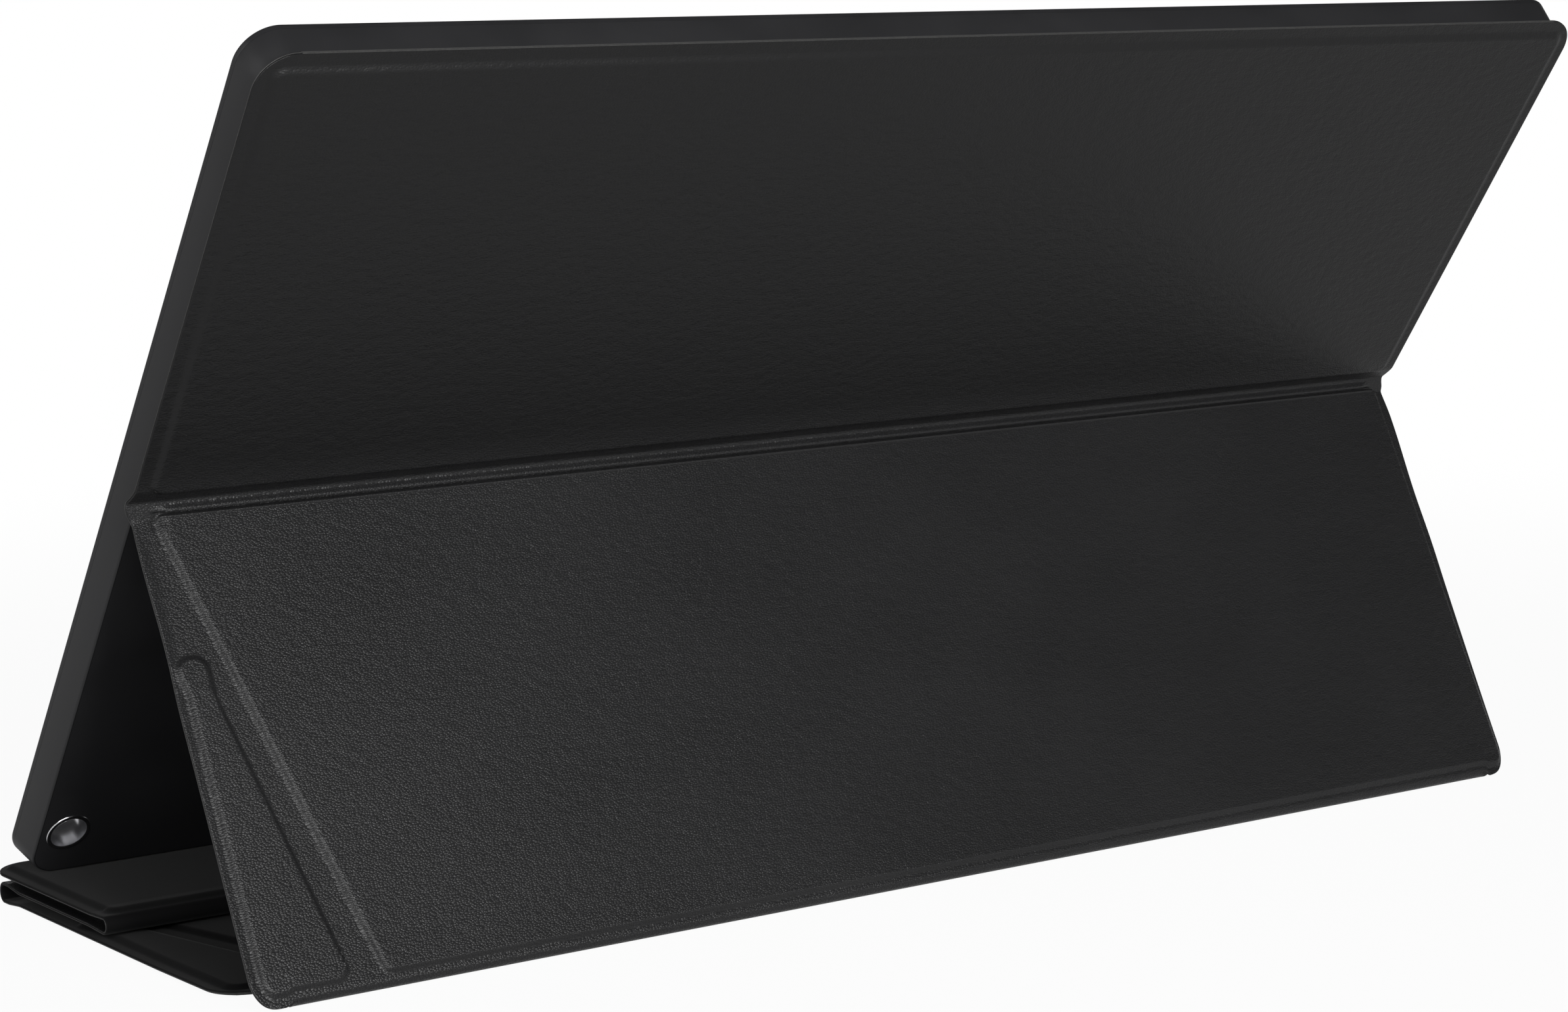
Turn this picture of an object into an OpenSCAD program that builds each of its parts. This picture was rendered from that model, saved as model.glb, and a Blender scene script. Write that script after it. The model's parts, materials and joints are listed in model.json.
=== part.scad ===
// Portable monitor standing in its folding cover.
//
// Monitor frame: x across, y from the screen face towards the back, z up the
// screen from its bottom edge.  The monitor leans back on the cover, which folds
// into a rear leg, a panel on the table and two layers under the bottom edge.
// The whole model stands on Z = 0, with the origin in the middle of the table panel.

/* [Monitor] */
// Thickness of the monitor, screen face to back
mon_t = 8; // [7.6:0.1:11]
// How far the side walls lean in at the back
wall_taper = 2; // [1:0.1:3]
// Radius of the outline's corners
corner_r = 8.5; // [6:0.1:10]
// Wall thickness of the rear cover
wall = 1.2; // [1:0.05:1.4]
// Thickness of the bezel's face
bezel_t = 1.2; // [1:0.05:1.5]
// Lean of the monitor back from upright
tilt = 35; // [28:0.5:40]

/* [Screen] */
// Width of the picture
view_w = 344.2; // [310:0.1:346]
// Height of the picture
view_h = 193.6; // [180:0.1:200]
// Bezel width beside the picture
side_bezel = 7.75; // [7.5:0.05:12]
// Bezel width above the picture
top_bezel = 8; // [7.5:0.1:10]
// Bezel width below the picture
bottom_bezel = 24.8; // [22:0.1:34]
// Blind edge of the liquid crystal glass at the sides and the top
cell_edge = 2.6; // [2:0.1:3]
// Blind edge of the liquid crystal glass at the bottom
cell_foot = 4.4; // [4:0.1:4.5]
// Thickness of the liquid crystal glass
cell_t = 1; // [0.8:0.05:1.1]
// Thickness of the film stack
film_t = 0.3; // [0.2:0.05:0.4]
// Thickness of the light guide
guide_t = 0.7; // [0.5:0.05:0.9]
// Thickness of the reflector sheet
reflector_t = 0.15; // [0.1:0.05:0.25]
// Sheet thickness of the panel chassis
chassis_t = 0.3; // [0.25:0.05:0.5]

/* [Pen hole] */
// Radius of the bore through the corner
pen_r = 4.2; // [3.5:0.1:4.5]
// Wall of the metal liner
liner_t = 0.45; // [0.3:0.05:0.6]
// Bore centre from the side edge
pen_side = 9.1; // [8:0.1:10]
// Bore centre from the bottom edge
pen_up = 14.3; // [12.5:0.1:14.4]

/* [Electronics] */
// Length of the main board
board_l = 116; // [100:1:140]
// Height of the boards up the screen
board_h = 10; // [9:0.1:11]
// Thickness of the printed boards
board_t = 0.8; // [0.6:0.05:1]
// Length of the timing board
timing_l = 140; // [110:1:160]
// Width of the USB-C socket's shell
usb_w = 8.94; // [8.8:0.01:9]
// Height of the USB-C socket's shell
usb_h = 3.2; // [3.1:0.01:3.26]
// Depth of the USB-C socket
usb_d = 7.3; // [6.5:0.1:8]

/* [Buttons] */
// Length of a button's cap
cap_l = 9; // [7:0.1:12]
// Width of a button's cap
cap_w = 3.2; // [2.4:0.1:3.6]
// How far a cap stands proud of the bezel
cap_proud = 0.4; // [0.35:0.05:0.8]
// Travel of a button
travel = 0.3; // [0.2:0.05:0.35]
// Spacing of the two buttons
button_pitch = 16; // [13:0.5:22]
// First button's centre from the side edge
button_side = 24; // [20:0.5:34]

/* [Cover] */
// Thickness of the cover over its boards
cover_t = 2.4; // [2:0.05:2.8]
// Thickness of the outer leather
skin_t = 0.4; // [0.3:0.05:0.5]
// Thickness of the inner lining
lining_t = 0.35; // [0.25:0.05:0.45]
// Bonded border outside the boards
border = 4; // [3:0.1:6]
// Radius of the cover's free corners
cover_r = 8.5; // [6:0.1:10]
// Thickness of the adhesive sheet that holds the cover to the monitor
glue_t = 0.3; // [0.2:0.05:0.5]
// Height of the main crease up the monitor
crease_z = 110; // [104:0.5:116]
// Bare leather above the main crease
crease_bare = 7; // [5:0.1:9]
// Bare leather below the main crease
leg_bare = 2; // [1.8:0.1:4]
// Length of the leg from the main crease to its foot
leg_l = 105.8; // [103:0.1:112]
// Length of the table panel from the leg's foot to the front fold
floor_l = 120; // [112:0.5:126]
// Width of the soft spine between the leg and the table panel
spine_w = 11.5; // [10:0.1:13]
// How far the spine stops short of the cover's ends
spine_inset = 9; // [8:0.1:14]
// Length of the second layer, fold to fold
second_l = 51.5; // [48:0.5:56]
// Length of the top layer, fold to free edge
top_l = 60; // [57:0.5:64]
// Gap between folded layers
layer_gap = 0.3; // [0.3:0.05:0.6]
// Gap between the monitor's bottom edge and the top layer
rest_gap = 0.2; // [0.15:0.05:0.4]
// Length of the tapered corner boards
corner_l = 70; // [60:1:85]
// Width of a corner board at its wide end
corner_w = 18.3; // [15:0.1:24]
// Width of a corner board at its narrow end
corner_tip = 3.4; // [3.2:0.1:6]
// Width of the diagonal fold beside a corner board
diagonal_w = 9.1; // [7:0.1:12]
// How far a main board's diagonal edge runs in, for each millimetre of its length
diagonal_slope = 0.243; // [0.2:0.001:0.28]
// Size of a closing magnet across the cover
magnet_l = 12; // [8:0.5:16]
// Size of a closing magnet along the cover
magnet_w = 5; // [4:0.5:6]

/* [Hidden] */
eps = 0.01;
$fn = 48;

// ---- the monitor's outline, from its picture and bezels ---------------------
mon_w = view_w + 2 * side_bezel;
mon_h = view_h + top_bezel + bottom_bezel;
view_z = bottom_bezel;

// ---- fits -------------------------------------------------------------------
slip = 0.15;                    // running gap round rigid pieces
collar_t = 1;                   // wall of the collar round the pen hole
film_gap = 0.05;                // air between the sheets of the panel
liner_gap = 0.02;               // seat of the pen hole's liner
board_gap = 0.1;                // board to leather pocket

// ---- the monitor's inner layers, counted from the screen face ---------------
cell_y = bezel_t + film_gap;
film_y = cell_y + cell_t + film_gap;
guide_y = film_y + film_t + film_gap;
reflector_y = guide_y + guide_t + film_gap;
chassis_y = reflector_y + reflector_t + film_gap;
board_y = chassis_y + chassis_t + 0.1;
back_y = mon_t - wall;
cell_w = view_w + 2 * cell_edge;
// the glass stays clear of the collar round the pen hole
cell_z = max(view_z - cell_foot, pen_up + pen_r + liner_t + collar_t + 2 * slip);
cell_h = view_z + view_h + cell_edge - cell_z;
rim_t = 0.8;
rim_l = 1.4;
board_z = 3.6;
board_x = -mon_w / 2 + wall_taper + wall + 1.6;
timing_x = board_x + board_l + 24;
usb_z = board_z + board_h / 2;
usb_y = board_y + board_t / 2;
usb_wall = 0.3;
liner_r = pen_r + liner_t;
pen_x = mon_w / 2 - pen_side;
boss_r = 1.9;
screw_r = 0.6;
screw_head_r = 1.4;
screw_head_t = 0.45;
button_z = usb_z;
button_x = [-mon_w / 2 + button_side, -mon_w / 2 + button_side + button_pitch];
flange_rim = 0.8;
flange_t = 0.6;
flange_y = bezel_t + slip;
switch_t = 0.7;
switch_face_y = flange_y + flange_t + travel + 0.1;

// ---- the cover's section, lengths running down from each fold ---------------
cover_w = mon_w;
pitch = cover_t + layer_gap;
board_core_t = cover_t - skin_t - lining_t;
fold_bare = 3.4;                // bare leather beside a fold
seam = 1.2;                     // from a fold's axis to the panels it joins
upper_l = mon_h - crease_z;
cover_y = mon_t + glue_t + cover_t / 2;
stack_h = 3 * cover_t + 2 * layer_gap;

// the monitor's lowest point is the bottom edge of its back
mon_lift = stack_h + rest_gap + mon_t * sin(tilt) - wall_taper * cos(tilt);
crease_at = [
    crease_z * sin(tilt) + cover_y * cos(tilt),
    crease_z * cos(tilt) - cover_y * sin(tilt) + mon_lift
];
lean = acos((crease_at[1] - cover_t / 2) / leg_l);
foot_at = [crease_at[0] + leg_l * sin(lean), cover_t / 2];
mid_y = foot_at[0] - floor_l / 2;
front_at = [foot_at[0] - floor_l, (cover_t + pitch) / 2];
rear_at = [front_at[0] + second_l, front_at[1] + pitch];

// ---- shapes -----------------------------------------------------------------
function unit(v) = v / norm(v);

// A corner of a polygon cut round: the arc's points, tangent to both sides
function corner_arc(a, b, c, r, n = 8) =
    let (
        u = unit(a - b),
        v = unit(c - b),
        half = acos(u * v) / 2,
        centre = b + unit(u + v) * (r / sin(half)),
        start = b + u * (r / tan(half)) - centre,
        end = b + v * (r / tan(half)) - centre,
        turn = (start[0] * end[1] - start[1] * end[0]) > 0 ? 180 - 2 * half : 2 * half - 180
    )
    [for (i = [0 : n]) let (t = turn * i / n)
        centre + [start[0] * cos(t) - start[1] * sin(t), start[0] * sin(t) + start[1] * cos(t)]];

// A polygon whose corners have the radii given in r, 0 for a sharp one
module rounded_polygon(points, r) {
    n = len(points);
    polygon([for (i = [0 : n - 1])
        each (r[i] > 0
            ? corner_arc(points[(i + n - 1) % n], points[i], points[(i + 1) % n], r[i])
            : [points[i]])]);
}

// Rectangle centred on x, from z0 to z1
module rounded_rect(w, z0, z1, r_low, r_high) {
    rounded_polygon(
        [[-w / 2, z0], [w / 2, z0], [w / 2, z1], [-w / 2, z1]],
        [r_low, r_low, r_high, r_high]
    );
}

// An outline drawn in x and z, given a thickness from y0 to y1
module plate(y0, y1) {
    translate([0, y1, 0]) rotate([90, 0, 0]) linear_extrude(y1 - y0) children();
}

module box(x0, x1, y0, y1, z0, z1) {
    translate([x0, y0, z0]) cube([x1 - x0, y1 - y0, z1 - z0]);
}

// A round bar or hole along y
module rod_y(x, z, r, y0, y1) {
    translate([x, y1, z]) rotate([90, 0, 0]) cylinder(r = r, h = y1 - y0);
}

// A slot's outline with round ends
module stadium(x, z, l, w) {
    translate([x - (l - w) / 2, z - w / 2]) square([l - w, w]);
    translate([x - (l - w) / 2, z]) circle(d = w);
    translate([x + (l - w) / 2, z]) circle(d = w);
}

// ---- places -----------------------------------------------------------------
module on_monitor() {
    translate([0, -mid_y, mon_lift]) rotate([-tilt, 0, 0]) children();
}

// A cover panel hangs down from its fold: x across, y out to the leather, z up
module on_fold(at, angle) {
    translate([0, at[0] - mid_y, at[1]]) rotate([angle, 0, 0]) children();
}

module on_upper() { on_monitor() translate([0, cover_y, crease_z]) children(); }
module on_leg() { on_fold(crease_at, lean) children(); }
module on_floor() { on_fold(foot_at, -90) children(); }
module on_second() { on_fold(front_at, 90) translate([0, pitch / 2, 0]) children(); }
module on_top() { on_fold(rear_at, -90) translate([0, -pitch / 2, 0]) children(); }

// ---- monitor ----------------------------------------------------------------
// The housing's outline at a depth y, whose walls lean in towards the back
module housing_outline(y, inset = 0) {
    side = inset + wall_taper * y / mon_t;
    r = max(corner_r - side, 0.5);
    rounded_rect(mon_w - 2 * side, side, mon_h - side, r, r);
}

module housing_loft(y0, y1, inset = 0) {
    hull() {
        plate(y0, y0 + eps) housing_outline(y0, inset);
        plate(y1 - eps, y1) housing_outline(y1, inset);
    }
}

// Four bosses under each printed board
function boss_places() = [
    for (x = [board_x + 14, board_x + board_l - 6, timing_x + 6, timing_x + timing_l - 6])
        [x, board_z + board_h / 2]
];

module rear_cover() {
    color([0.20, 0.20, 0.21]) on_monitor() difference() {
        union() {
            difference() {
                housing_loft(bezel_t, mon_t);
                housing_loft(bezel_t - eps, back_y, wall);
            }
            // stiffening ribs behind the panel
            intersection() {
                housing_loft(chassis_y, mon_t - wall / 2, wall / 2);
                union() {
                    for (x = [-150 : 50 : 150])
                        box(x - 0.5, x + 0.5, back_y - 0.6, back_y + eps, cell_z, mon_h - wall);
                    for (z = [0.25 : 0.25 : 0.75])
                        box(-mon_w / 2, mon_w / 2, back_y - 0.6, back_y + eps,
                            mon_h * z - 0.5, mon_h * z + 0.5);
                }
            }
            for (p = boss_places())
                rod_y(p[0], p[1], boss_r, board_y + board_t, back_y + eps);
            // collar round the pen hole
            rod_y(pen_x, pen_up, liner_r + collar_t, bezel_t + slip, back_y + eps);
        }
        for (p = boss_places())
            rod_y(p[0], p[1], screw_r, board_y, back_y - 0.2);
        rod_y(pen_x, pen_up, liner_r + liner_gap, 0, mon_t + eps);
        // mouth of the USB-C socket
        translate([-mon_w / 2 - eps, usb_y, usb_z]) usb_mouth(8, 0.25);
    }
}

// The rounded flat tube of a USB-C shell, along x from the origin
module usb_mouth(l, extra) {
    rotate([0, 90, 0]) linear_extrude(l)
        stadium(0, 0, usb_w + 2 * extra, usb_h + 2 * extra);
}

module front_bezel() {
    color([0.13, 0.13, 0.14]) on_monitor() difference() {
        union() {
            housing_loft(0, bezel_t);
            // rim that drops inside the rear cover's wall
            difference() {
                housing_loft(bezel_t - eps, bezel_t + rim_l, wall + slip);
                housing_loft(bezel_t - 2 * eps, bezel_t + rim_l + eps, wall + slip + rim_t);
            }
        }
        plate(-eps, bezel_t + eps)
            rounded_rect(view_w, view_z, view_z + view_h, 0.6, 0.6);
        // a step that hides the edge of the glass
        plate(bezel_t - 0.3, bezel_t + rim_l + 2 * eps)
            rounded_rect(cell_w + 2 * slip, cell_z - slip, cell_z + cell_h + slip, 0.6, 0.6);
        rod_y(pen_x, pen_up, liner_r + liner_gap, -eps, bezel_t + eps);
        rod_y(pen_x, pen_up, liner_r + collar_t + slip, bezel_t, bezel_t + rim_l + 1);
        for (x = button_x)
            plate(-eps, bezel_t + eps) stadium(x, button_z, cap_l + 2 * slip, cap_w + 2 * slip);
    }
}

module lcd_cell() {
    color([0.02, 0.02, 0.03]) on_monitor()
        plate(cell_y, cell_y + cell_t) rounded_rect(cell_w, cell_z, cell_z + cell_h, 0.5, 0.5);
}

// Outline shared by the sheets behind the glass
module sheet_outline(margin) {
    rounded_rect(cell_w - 2 * margin, cell_z + margin, cell_z + cell_h - margin, 0.5, 0.5);
}

module film_stack() {
    color([0.92, 0.94, 0.95]) on_monitor() plate(film_y, film_y + film_t) sheet_outline(1);
}

module light_guide() {
    color([0.85, 0.92, 0.95]) on_monitor() plate(guide_y, guide_y + guide_t)
        rounded_rect(cell_w - 2, cell_z + 4, cell_z + cell_h - 1, 0.5, 0.5);
}

module led_strip() {
    led_pitch = 6;
    led_w = 3;
    strip_w = cell_w - 8;
    color([0.95, 0.93, 0.80]) on_monitor() {
        box(-strip_w / 2, strip_w / 2, guide_y + guide_t - 0.2, guide_y + guide_t,
            cell_z + 1, cell_z + 3.9);
        for (i = [0 : floor(strip_w / led_pitch) - 1])
            box(-strip_w / 2 + i * led_pitch + 1, -strip_w / 2 + i * led_pitch + 1 + led_w,
                guide_y, guide_y + guide_t - 0.2, cell_z + 2.9, cell_z + 3.9);
    }
}

module reflector_sheet() {
    color([0.96, 0.96, 0.96]) on_monitor()
        plate(reflector_y, reflector_y + reflector_t) sheet_outline(0.8);
}

module panel_chassis() {
    color([0.62, 0.63, 0.65]) on_monitor() difference() {
        plate(film_y, chassis_y + chassis_t) sheet_outline(0);
        plate(film_y - eps, chassis_y) sheet_outline(chassis_t);
        // lightening windows
        for (i = [-2 : 2])
            plate(chassis_y - eps, chassis_y + chassis_t + eps)
                translate([i * cell_w / 5.4, 0])
                    rounded_rect(cell_w / 7, cell_z + 30, cell_z + cell_h - 30, 4, 4);
    }
}

module board_blank(x, l) {
    difference() {
        box(x, x + l, board_y, board_y + board_t, board_z, board_z + board_h);
        for (p = boss_places())
            rod_y(p[0], p[1], screw_r + 0.1, board_y - eps, board_y + board_t + eps);
    }
}

module chip(x, l, h) {
    box(x, x + l, board_y + board_t, board_y + board_t + 0.9,
        board_z + (board_h - h) / 2, board_z + (board_h + h) / 2);
}

module main_board() {
    color([0.05, 0.28, 0.16]) on_monitor() {
        difference() {
            board_blank(board_x, board_l);
            // bay for the socket, which sits in the board's thickness
            box(board_x - eps, board_x + usb_d - 1.2, board_y - eps, board_y + board_t + eps,
                usb_z - usb_w / 2 - 0.1, usb_z + usb_w / 2 + 0.1);
        }
        chip(board_x + 30, 9, 7);
        chip(board_x + 52, 5, 5);
        chip(board_x + 70, 8, 6);
        chip(board_x + 88, 4, 6);
    }
}

module timing_board() {
    color([0.05, 0.25, 0.20]) on_monitor() {
        board_blank(timing_x, timing_l);
        chip(timing_x + 40, 10, 6);
        chip(timing_x + 80, 5, 5);
        chip(timing_x + 110, 7, 4);
    }
}

module panel_cable() {
    color([0.85, 0.80, 0.62]) on_monitor() {
        lap = 5;
        thick = 0.3;
        y0 = board_y - thick;
        box(board_x + board_l - lap, timing_x + lap, y0, y0 + thick - 0.02,
            board_z + 0.3, board_z + 2.8);
    }
}

module usb_c_socket() {
    tongue_w = 6.7;
    tongue_t = 0.7;
    x0 = -mon_w / 2 + wall_taper * usb_y / mon_t + 0.3;
    color([0.75, 0.75, 0.77]) on_monitor() translate([x0, usb_y, usb_z]) {
        difference() {
            usb_mouth(usb_d, 0);
            translate([-eps, 0, 0]) usb_mouth(usb_d - 1, -usb_wall);
        }
        translate([1.2, -tongue_t / 2, -tongue_w / 2]) cube([usb_d - 2, tongue_t, tongue_w]);
    }
}

module key_switches() {
    color([0.15, 0.15, 0.15]) on_monitor()
        for (x = button_x) {
            box(x - 1.8, x + 1.8, board_y - switch_t, board_y, button_z - 1.5, button_z + 1.5);
            rod_y(x, button_z, 0.8, switch_face_y, board_y - switch_t + eps);
        }
}

module board_screws() {
    color([0.70, 0.70, 0.72]) on_monitor()
        for (p = boss_places()) {
            rod_y(p[0], p[1], screw_head_r, board_y - screw_head_t, board_y);
            rod_y(p[0], p[1], screw_r, board_y - eps, back_y - 0.5);
        }
}

module pen_hole_liner() {
    flange_w = 0.7;
    flange_d = 0.25;
    color([0.80, 0.80, 0.82]) on_monitor() difference() {
        union() {
            rod_y(pen_x, pen_up, liner_r, 0, mon_t);
            rod_y(pen_x, pen_up, liner_r + flange_w, -flange_d, 0);
            rod_y(pen_x, pen_up, liner_r + flange_w, mon_t, mon_t + flange_d);
        }
        rod_y(pen_x, pen_up, pen_r, -flange_d - eps, mon_t + flange_d + eps);
    }
}

// A key: the cap in the bezel's slot and a flange that keeps it in
module button(x) {
    color([0.10, 0.10, 0.11]) on_monitor() {
        plate(-cap_proud, flange_y + eps) stadium(x, button_z, cap_l, cap_w);
        plate(flange_y, flange_y + flange_t)
            stadium(x, button_z, cap_l + 2 * flange_rim, cap_w + 2 * flange_rim);
    }
}

module power_button() { button(button_x[0]); }
module menu_button() { button(button_x[1]); }

// ---- cover ------------------------------------------------------------------
// Outlines are drawn in x and z with z = 0 at the fold the panel hangs from.

// Upper panel: stands up from the main crease
module upper_outline() { rounded_rect(cover_w, seam, upper_l, 0, cover_r); }
module upper_board_outline(grow = 0) {
    rounded_rect(cover_w - 2 * border + 2 * grow, crease_bare - grow,
        upper_l - border + grow, 1 + grow, cover_r - border + 1 + grow);
}

// Leg: rounded at the foot beside the narrower spine
module leg_outline() {
    rounded_rect(cover_w - 1.4, -leg_l + seam / 2, -seam, cover_r, 0);
}

// Table panel: the spine, then the panel with rounded rear corners
module floor_outline() {
    rounded_rect(cover_w, -floor_l + seam, -spine_w, 0, cover_r);
    translate([-cover_w / 2 + spine_inset, -spine_w - eps])
        square([cover_w - 2 * spine_inset, spine_w - seam + eps]);
}

// Tapered board in the corner; foot is its wide end, dir the way it narrows
module corner_board_outline(foot, dir, grow = 0) {
    side = cover_w / 2 - border;
    tip = foot + dir * (corner_l + grow);
    rounded_polygon(
        [
            [side + grow, foot - dir * grow],
            [side + grow, tip],
            [side - corner_tip - grow, tip],
            [side - corner_w - grow, foot - dir * grow]
        ],
        [1.6 + grow, 1.5 + grow, 1.5 + grow, 2.6 + grow]
    );
}

// Main board, cut back along the diagonal
module main_board_outline(foot, head, dir, grow = 0) {
    left = -cover_w / 2 + border - grow;
    x_at_foot = cover_w / 2 - border - corner_w - diagonal_w + grow;
    x_at_head = min(x_at_foot + diagonal_slope * abs(head - foot), cover_w / 2 - border + grow);
    rounded_polygon(
        [
            [left, foot - dir * grow],
            [left, head + dir * grow],
            [x_at_head, head + dir * grow],
            [x_at_foot, foot - dir * grow]
        ],
        [1.6 + grow, 1.6 + grow, 1.6 + grow, 1.6 + grow]
    );
}

leg_foot = -leg_l + fold_bare;
leg_head = -leg_bare;
floor_foot = -spine_w - border;
floor_head = -floor_l + fold_bare;

module leg_board_outline(grow = 0) {
    main_board_outline(leg_foot, leg_head, 1, grow);
}
module leg_corner_outline(grow = 0) {
    corner_board_outline(leg_foot, 1, grow);
}
module floor_board_outline(grow = 0) {
    main_board_outline(floor_foot, floor_head, -1, grow);
}
module floor_corner_outline(grow = 0) {
    corner_board_outline(floor_foot, -1, grow);
}

module second_outline() { rounded_rect(cover_w, -second_l + seam, -seam, 0, 0); }
module second_board_outline(grow = 0) {
    rounded_rect(cover_w - 2 * border + 2 * grow, -second_l + fold_bare - grow,
        -fold_bare + grow, 1 + grow, 1 + grow);
}
module top_outline() { rounded_rect(cover_w, -top_l, -seam, cover_r, 0); }
module top_board_outline(grow = 0) {
    rounded_rect(cover_w - 2 * border + 2 * grow, -top_l + border - grow,
        -fold_bare + grow, cover_r - border + 1 + grow, 1 + grow);
}

// The boards lie in the middle of the cover, towards the lining by the
// difference of leather and lining
board_y0 = -cover_t / 2 + lining_t;
board_y1 = cover_t / 2 - skin_t;

// Outer leather: flat on the border, raised over the boards (child 0 is the
// panel's outline, child 1 the raised ground, child 2 the boards' pocket)
module leather() {
    difference() {
        union() {
            plate(0, skin_t) children(0);
            plate(0, cover_t / 2) children(1);
        }
        plate(-eps, board_y1) children(2);
    }
}

// Inner lining, the same towards the inside
module lining() {
    difference() {
        union() {
            plate(-lining_t, 0) children(0);
            plate(-cover_t / 2, 0) children(1);
        }
        plate(board_y0, eps) children(2);
    }
}

module stiffener() {
    plate(board_y0, board_y1) children();
}

skin_colour = [0.14, 0.14, 0.15];
lining_colour = [0.09, 0.09, 0.10];
board_colour = [0.55, 0.50, 0.42];

module cover_adhesive() {
    color([0.75, 0.75, 0.70]) on_monitor() translate([0, mon_t, crease_z])
        plate(0, glue_t) upper_board_outline(-2);
}

module upper_skin() {
    color(skin_colour) on_upper() leather() {
        upper_outline();
        upper_board_outline(skin_t + board_gap);
        upper_board_outline(board_gap);
    }
}
module upper_lining() {
    color(lining_colour) on_upper() lining() {
        upper_outline();
        upper_board_outline(lining_t + board_gap);
        upper_board_outline(board_gap);
    }
}
module upper_board() {
    color(board_colour) on_upper() stiffener() upper_board_outline();
}

// A round bead of leather at a fold's axis
module fold_bead(l) {
    bead_r = 0.45;
    translate([-l / 2, 0, 0]) rotate([0, 90, 0]) cylinder(r = bead_r, h = l);
}

module main_crease() {
    color(skin_colour) on_leg() fold_bead(cover_w - 1.4);
}

module leg_skin() {
    color(skin_colour) on_leg() leather() {
        leg_outline();
        union() {
            leg_board_outline(skin_t + board_gap);
            leg_corner_outline(skin_t + board_gap);
        }
        union() {
            leg_board_outline(board_gap);
            leg_corner_outline(board_gap);
        }
    }
}
module leg_lining() {
    color(lining_colour) on_leg() lining() {
        leg_outline();
        union() {
            leg_board_outline(lining_t + board_gap);
            leg_corner_outline(lining_t + board_gap);
        }
        union() {
            leg_board_outline(board_gap);
            leg_corner_outline(board_gap);
        }
    }
}
module leg_board() { color(board_colour) on_leg() stiffener() leg_board_outline(); }
module leg_corner_board() { color(board_colour) on_leg() stiffener() leg_corner_outline(); }

module foot_fold() {
    color(skin_colour) on_floor() fold_bead(cover_w - 2 * spine_inset - 2);
}

module floor_skin() {
    color(skin_colour) on_floor() leather() {
        floor_outline();
        union() {
            floor_board_outline(skin_t + board_gap);
            floor_corner_outline(skin_t + board_gap);
        }
        union() {
            floor_board_outline(board_gap);
            floor_corner_outline(board_gap);
        }
    }
}
module floor_lining() {
    color(lining_colour) on_floor() lining() {
        floor_outline();
        union() {
            floor_board_outline(lining_t + board_gap);
            floor_corner_outline(lining_t + board_gap);
        }
        union() {
            floor_board_outline(board_gap);
            floor_corner_outline(board_gap);
        }
    }
}
module floor_board() { color(board_colour) on_floor() stiffener() floor_board_outline(); }
module floor_corner_board() {
    color(board_colour) on_floor() stiffener() floor_corner_outline();
}

// A hairpin between two layers: half a tube, one layer pitch across, with
// straight ends that run in to the panels
module hairpin(thick) {
    translate([-cover_w / 2, 0, 0]) rotate([90, 0, 90]) linear_extrude(cover_w)
        difference() {
            union() {
                intersection() {
                    circle(r = (pitch + thick) / 2);
                    translate([-pitch - thick, -pitch]) square([pitch + thick + eps, 2 * pitch]);
                }
                translate([0, -(pitch + thick) / 2]) square([seam - slip, pitch + thick]);
            }
            circle(r = (pitch - thick) / 2);
            translate([0, -(pitch - thick) / 2]) square([seam, pitch - thick]);
        }
}

module front_fold() {
    color(skin_colour) translate([0, front_at[0] - mid_y, front_at[1]])
        hairpin(skin_t + lining_t);
}

module second_skin() {
    color(skin_colour) on_second() leather() {
        second_outline();
        second_board_outline(skin_t + board_gap);
        second_board_outline(board_gap);
    }
}
module second_lining() {
    color(lining_colour) on_second() lining() {
        second_outline();
        second_board_outline(lining_t + board_gap);
        second_board_outline(board_gap);
    }
}
module second_board() {
    color(board_colour) on_second() stiffener() second_board_outline();
}

module rear_fold() {
    color(skin_colour) translate([0, rear_at[0] - mid_y, rear_at[1]])
        mirror([0, 1, 0]) hairpin(skin_t + lining_t);
}

module top_skin() {
    color(skin_colour) on_top() leather() {
        top_outline();
        top_board_outline(skin_t + board_gap);
        top_board_outline(board_gap);
    }
}
module top_lining() {
    color(lining_colour) on_top() lining() {
        top_outline();
        top_board_outline(lining_t + board_gap);
        top_board_outline(board_gap);
    }
}

// Magnets sit in slots of the top layer's board, near its free edge
function magnet_x() = [for (side = [-1, 1], i = [0 : 1]) side * (cover_w * (0.38 - 0.1 * i))];
module magnet_plate(x, grow) {
    translate([x - magnet_l / 2 - grow, -top_l + border + 3 - grow])
        square([magnet_l + 2 * grow, magnet_w + 2 * grow]);
}

module top_board() {
    color(board_colour) on_top() difference() {
        stiffener() top_board_outline();
        for (x = magnet_x())
            plate(board_y0 - eps, board_y1 + eps) magnet_plate(x, 0.1);
    }
}
module closing_magnets() {
    color([0.66, 0.66, 0.68]) on_top()
        for (x = magnet_x())
            plate(board_y0, board_y1) magnet_plate(x, 0);
}

rear_cover();
front_bezel();
lcd_cell();
film_stack();
light_guide();
reflector_sheet();
panel_chassis();
led_strip();
timing_board();
main_board();
usb_c_socket();
key_switches();
panel_cable();
board_screws();
pen_hole_liner();
power_button();
menu_button();
cover_adhesive();
upper_skin();
upper_lining();
upper_board();
main_crease();
leg_skin();
leg_lining();
leg_board();
leg_corner_board();
foot_fold();
floor_skin();
floor_lining();
floor_board();
floor_corner_board();
front_fold();
second_skin();
second_lining();
second_board();
rear_fold();
top_skin();
top_lining();
top_board();
closing_magnets();
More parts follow.
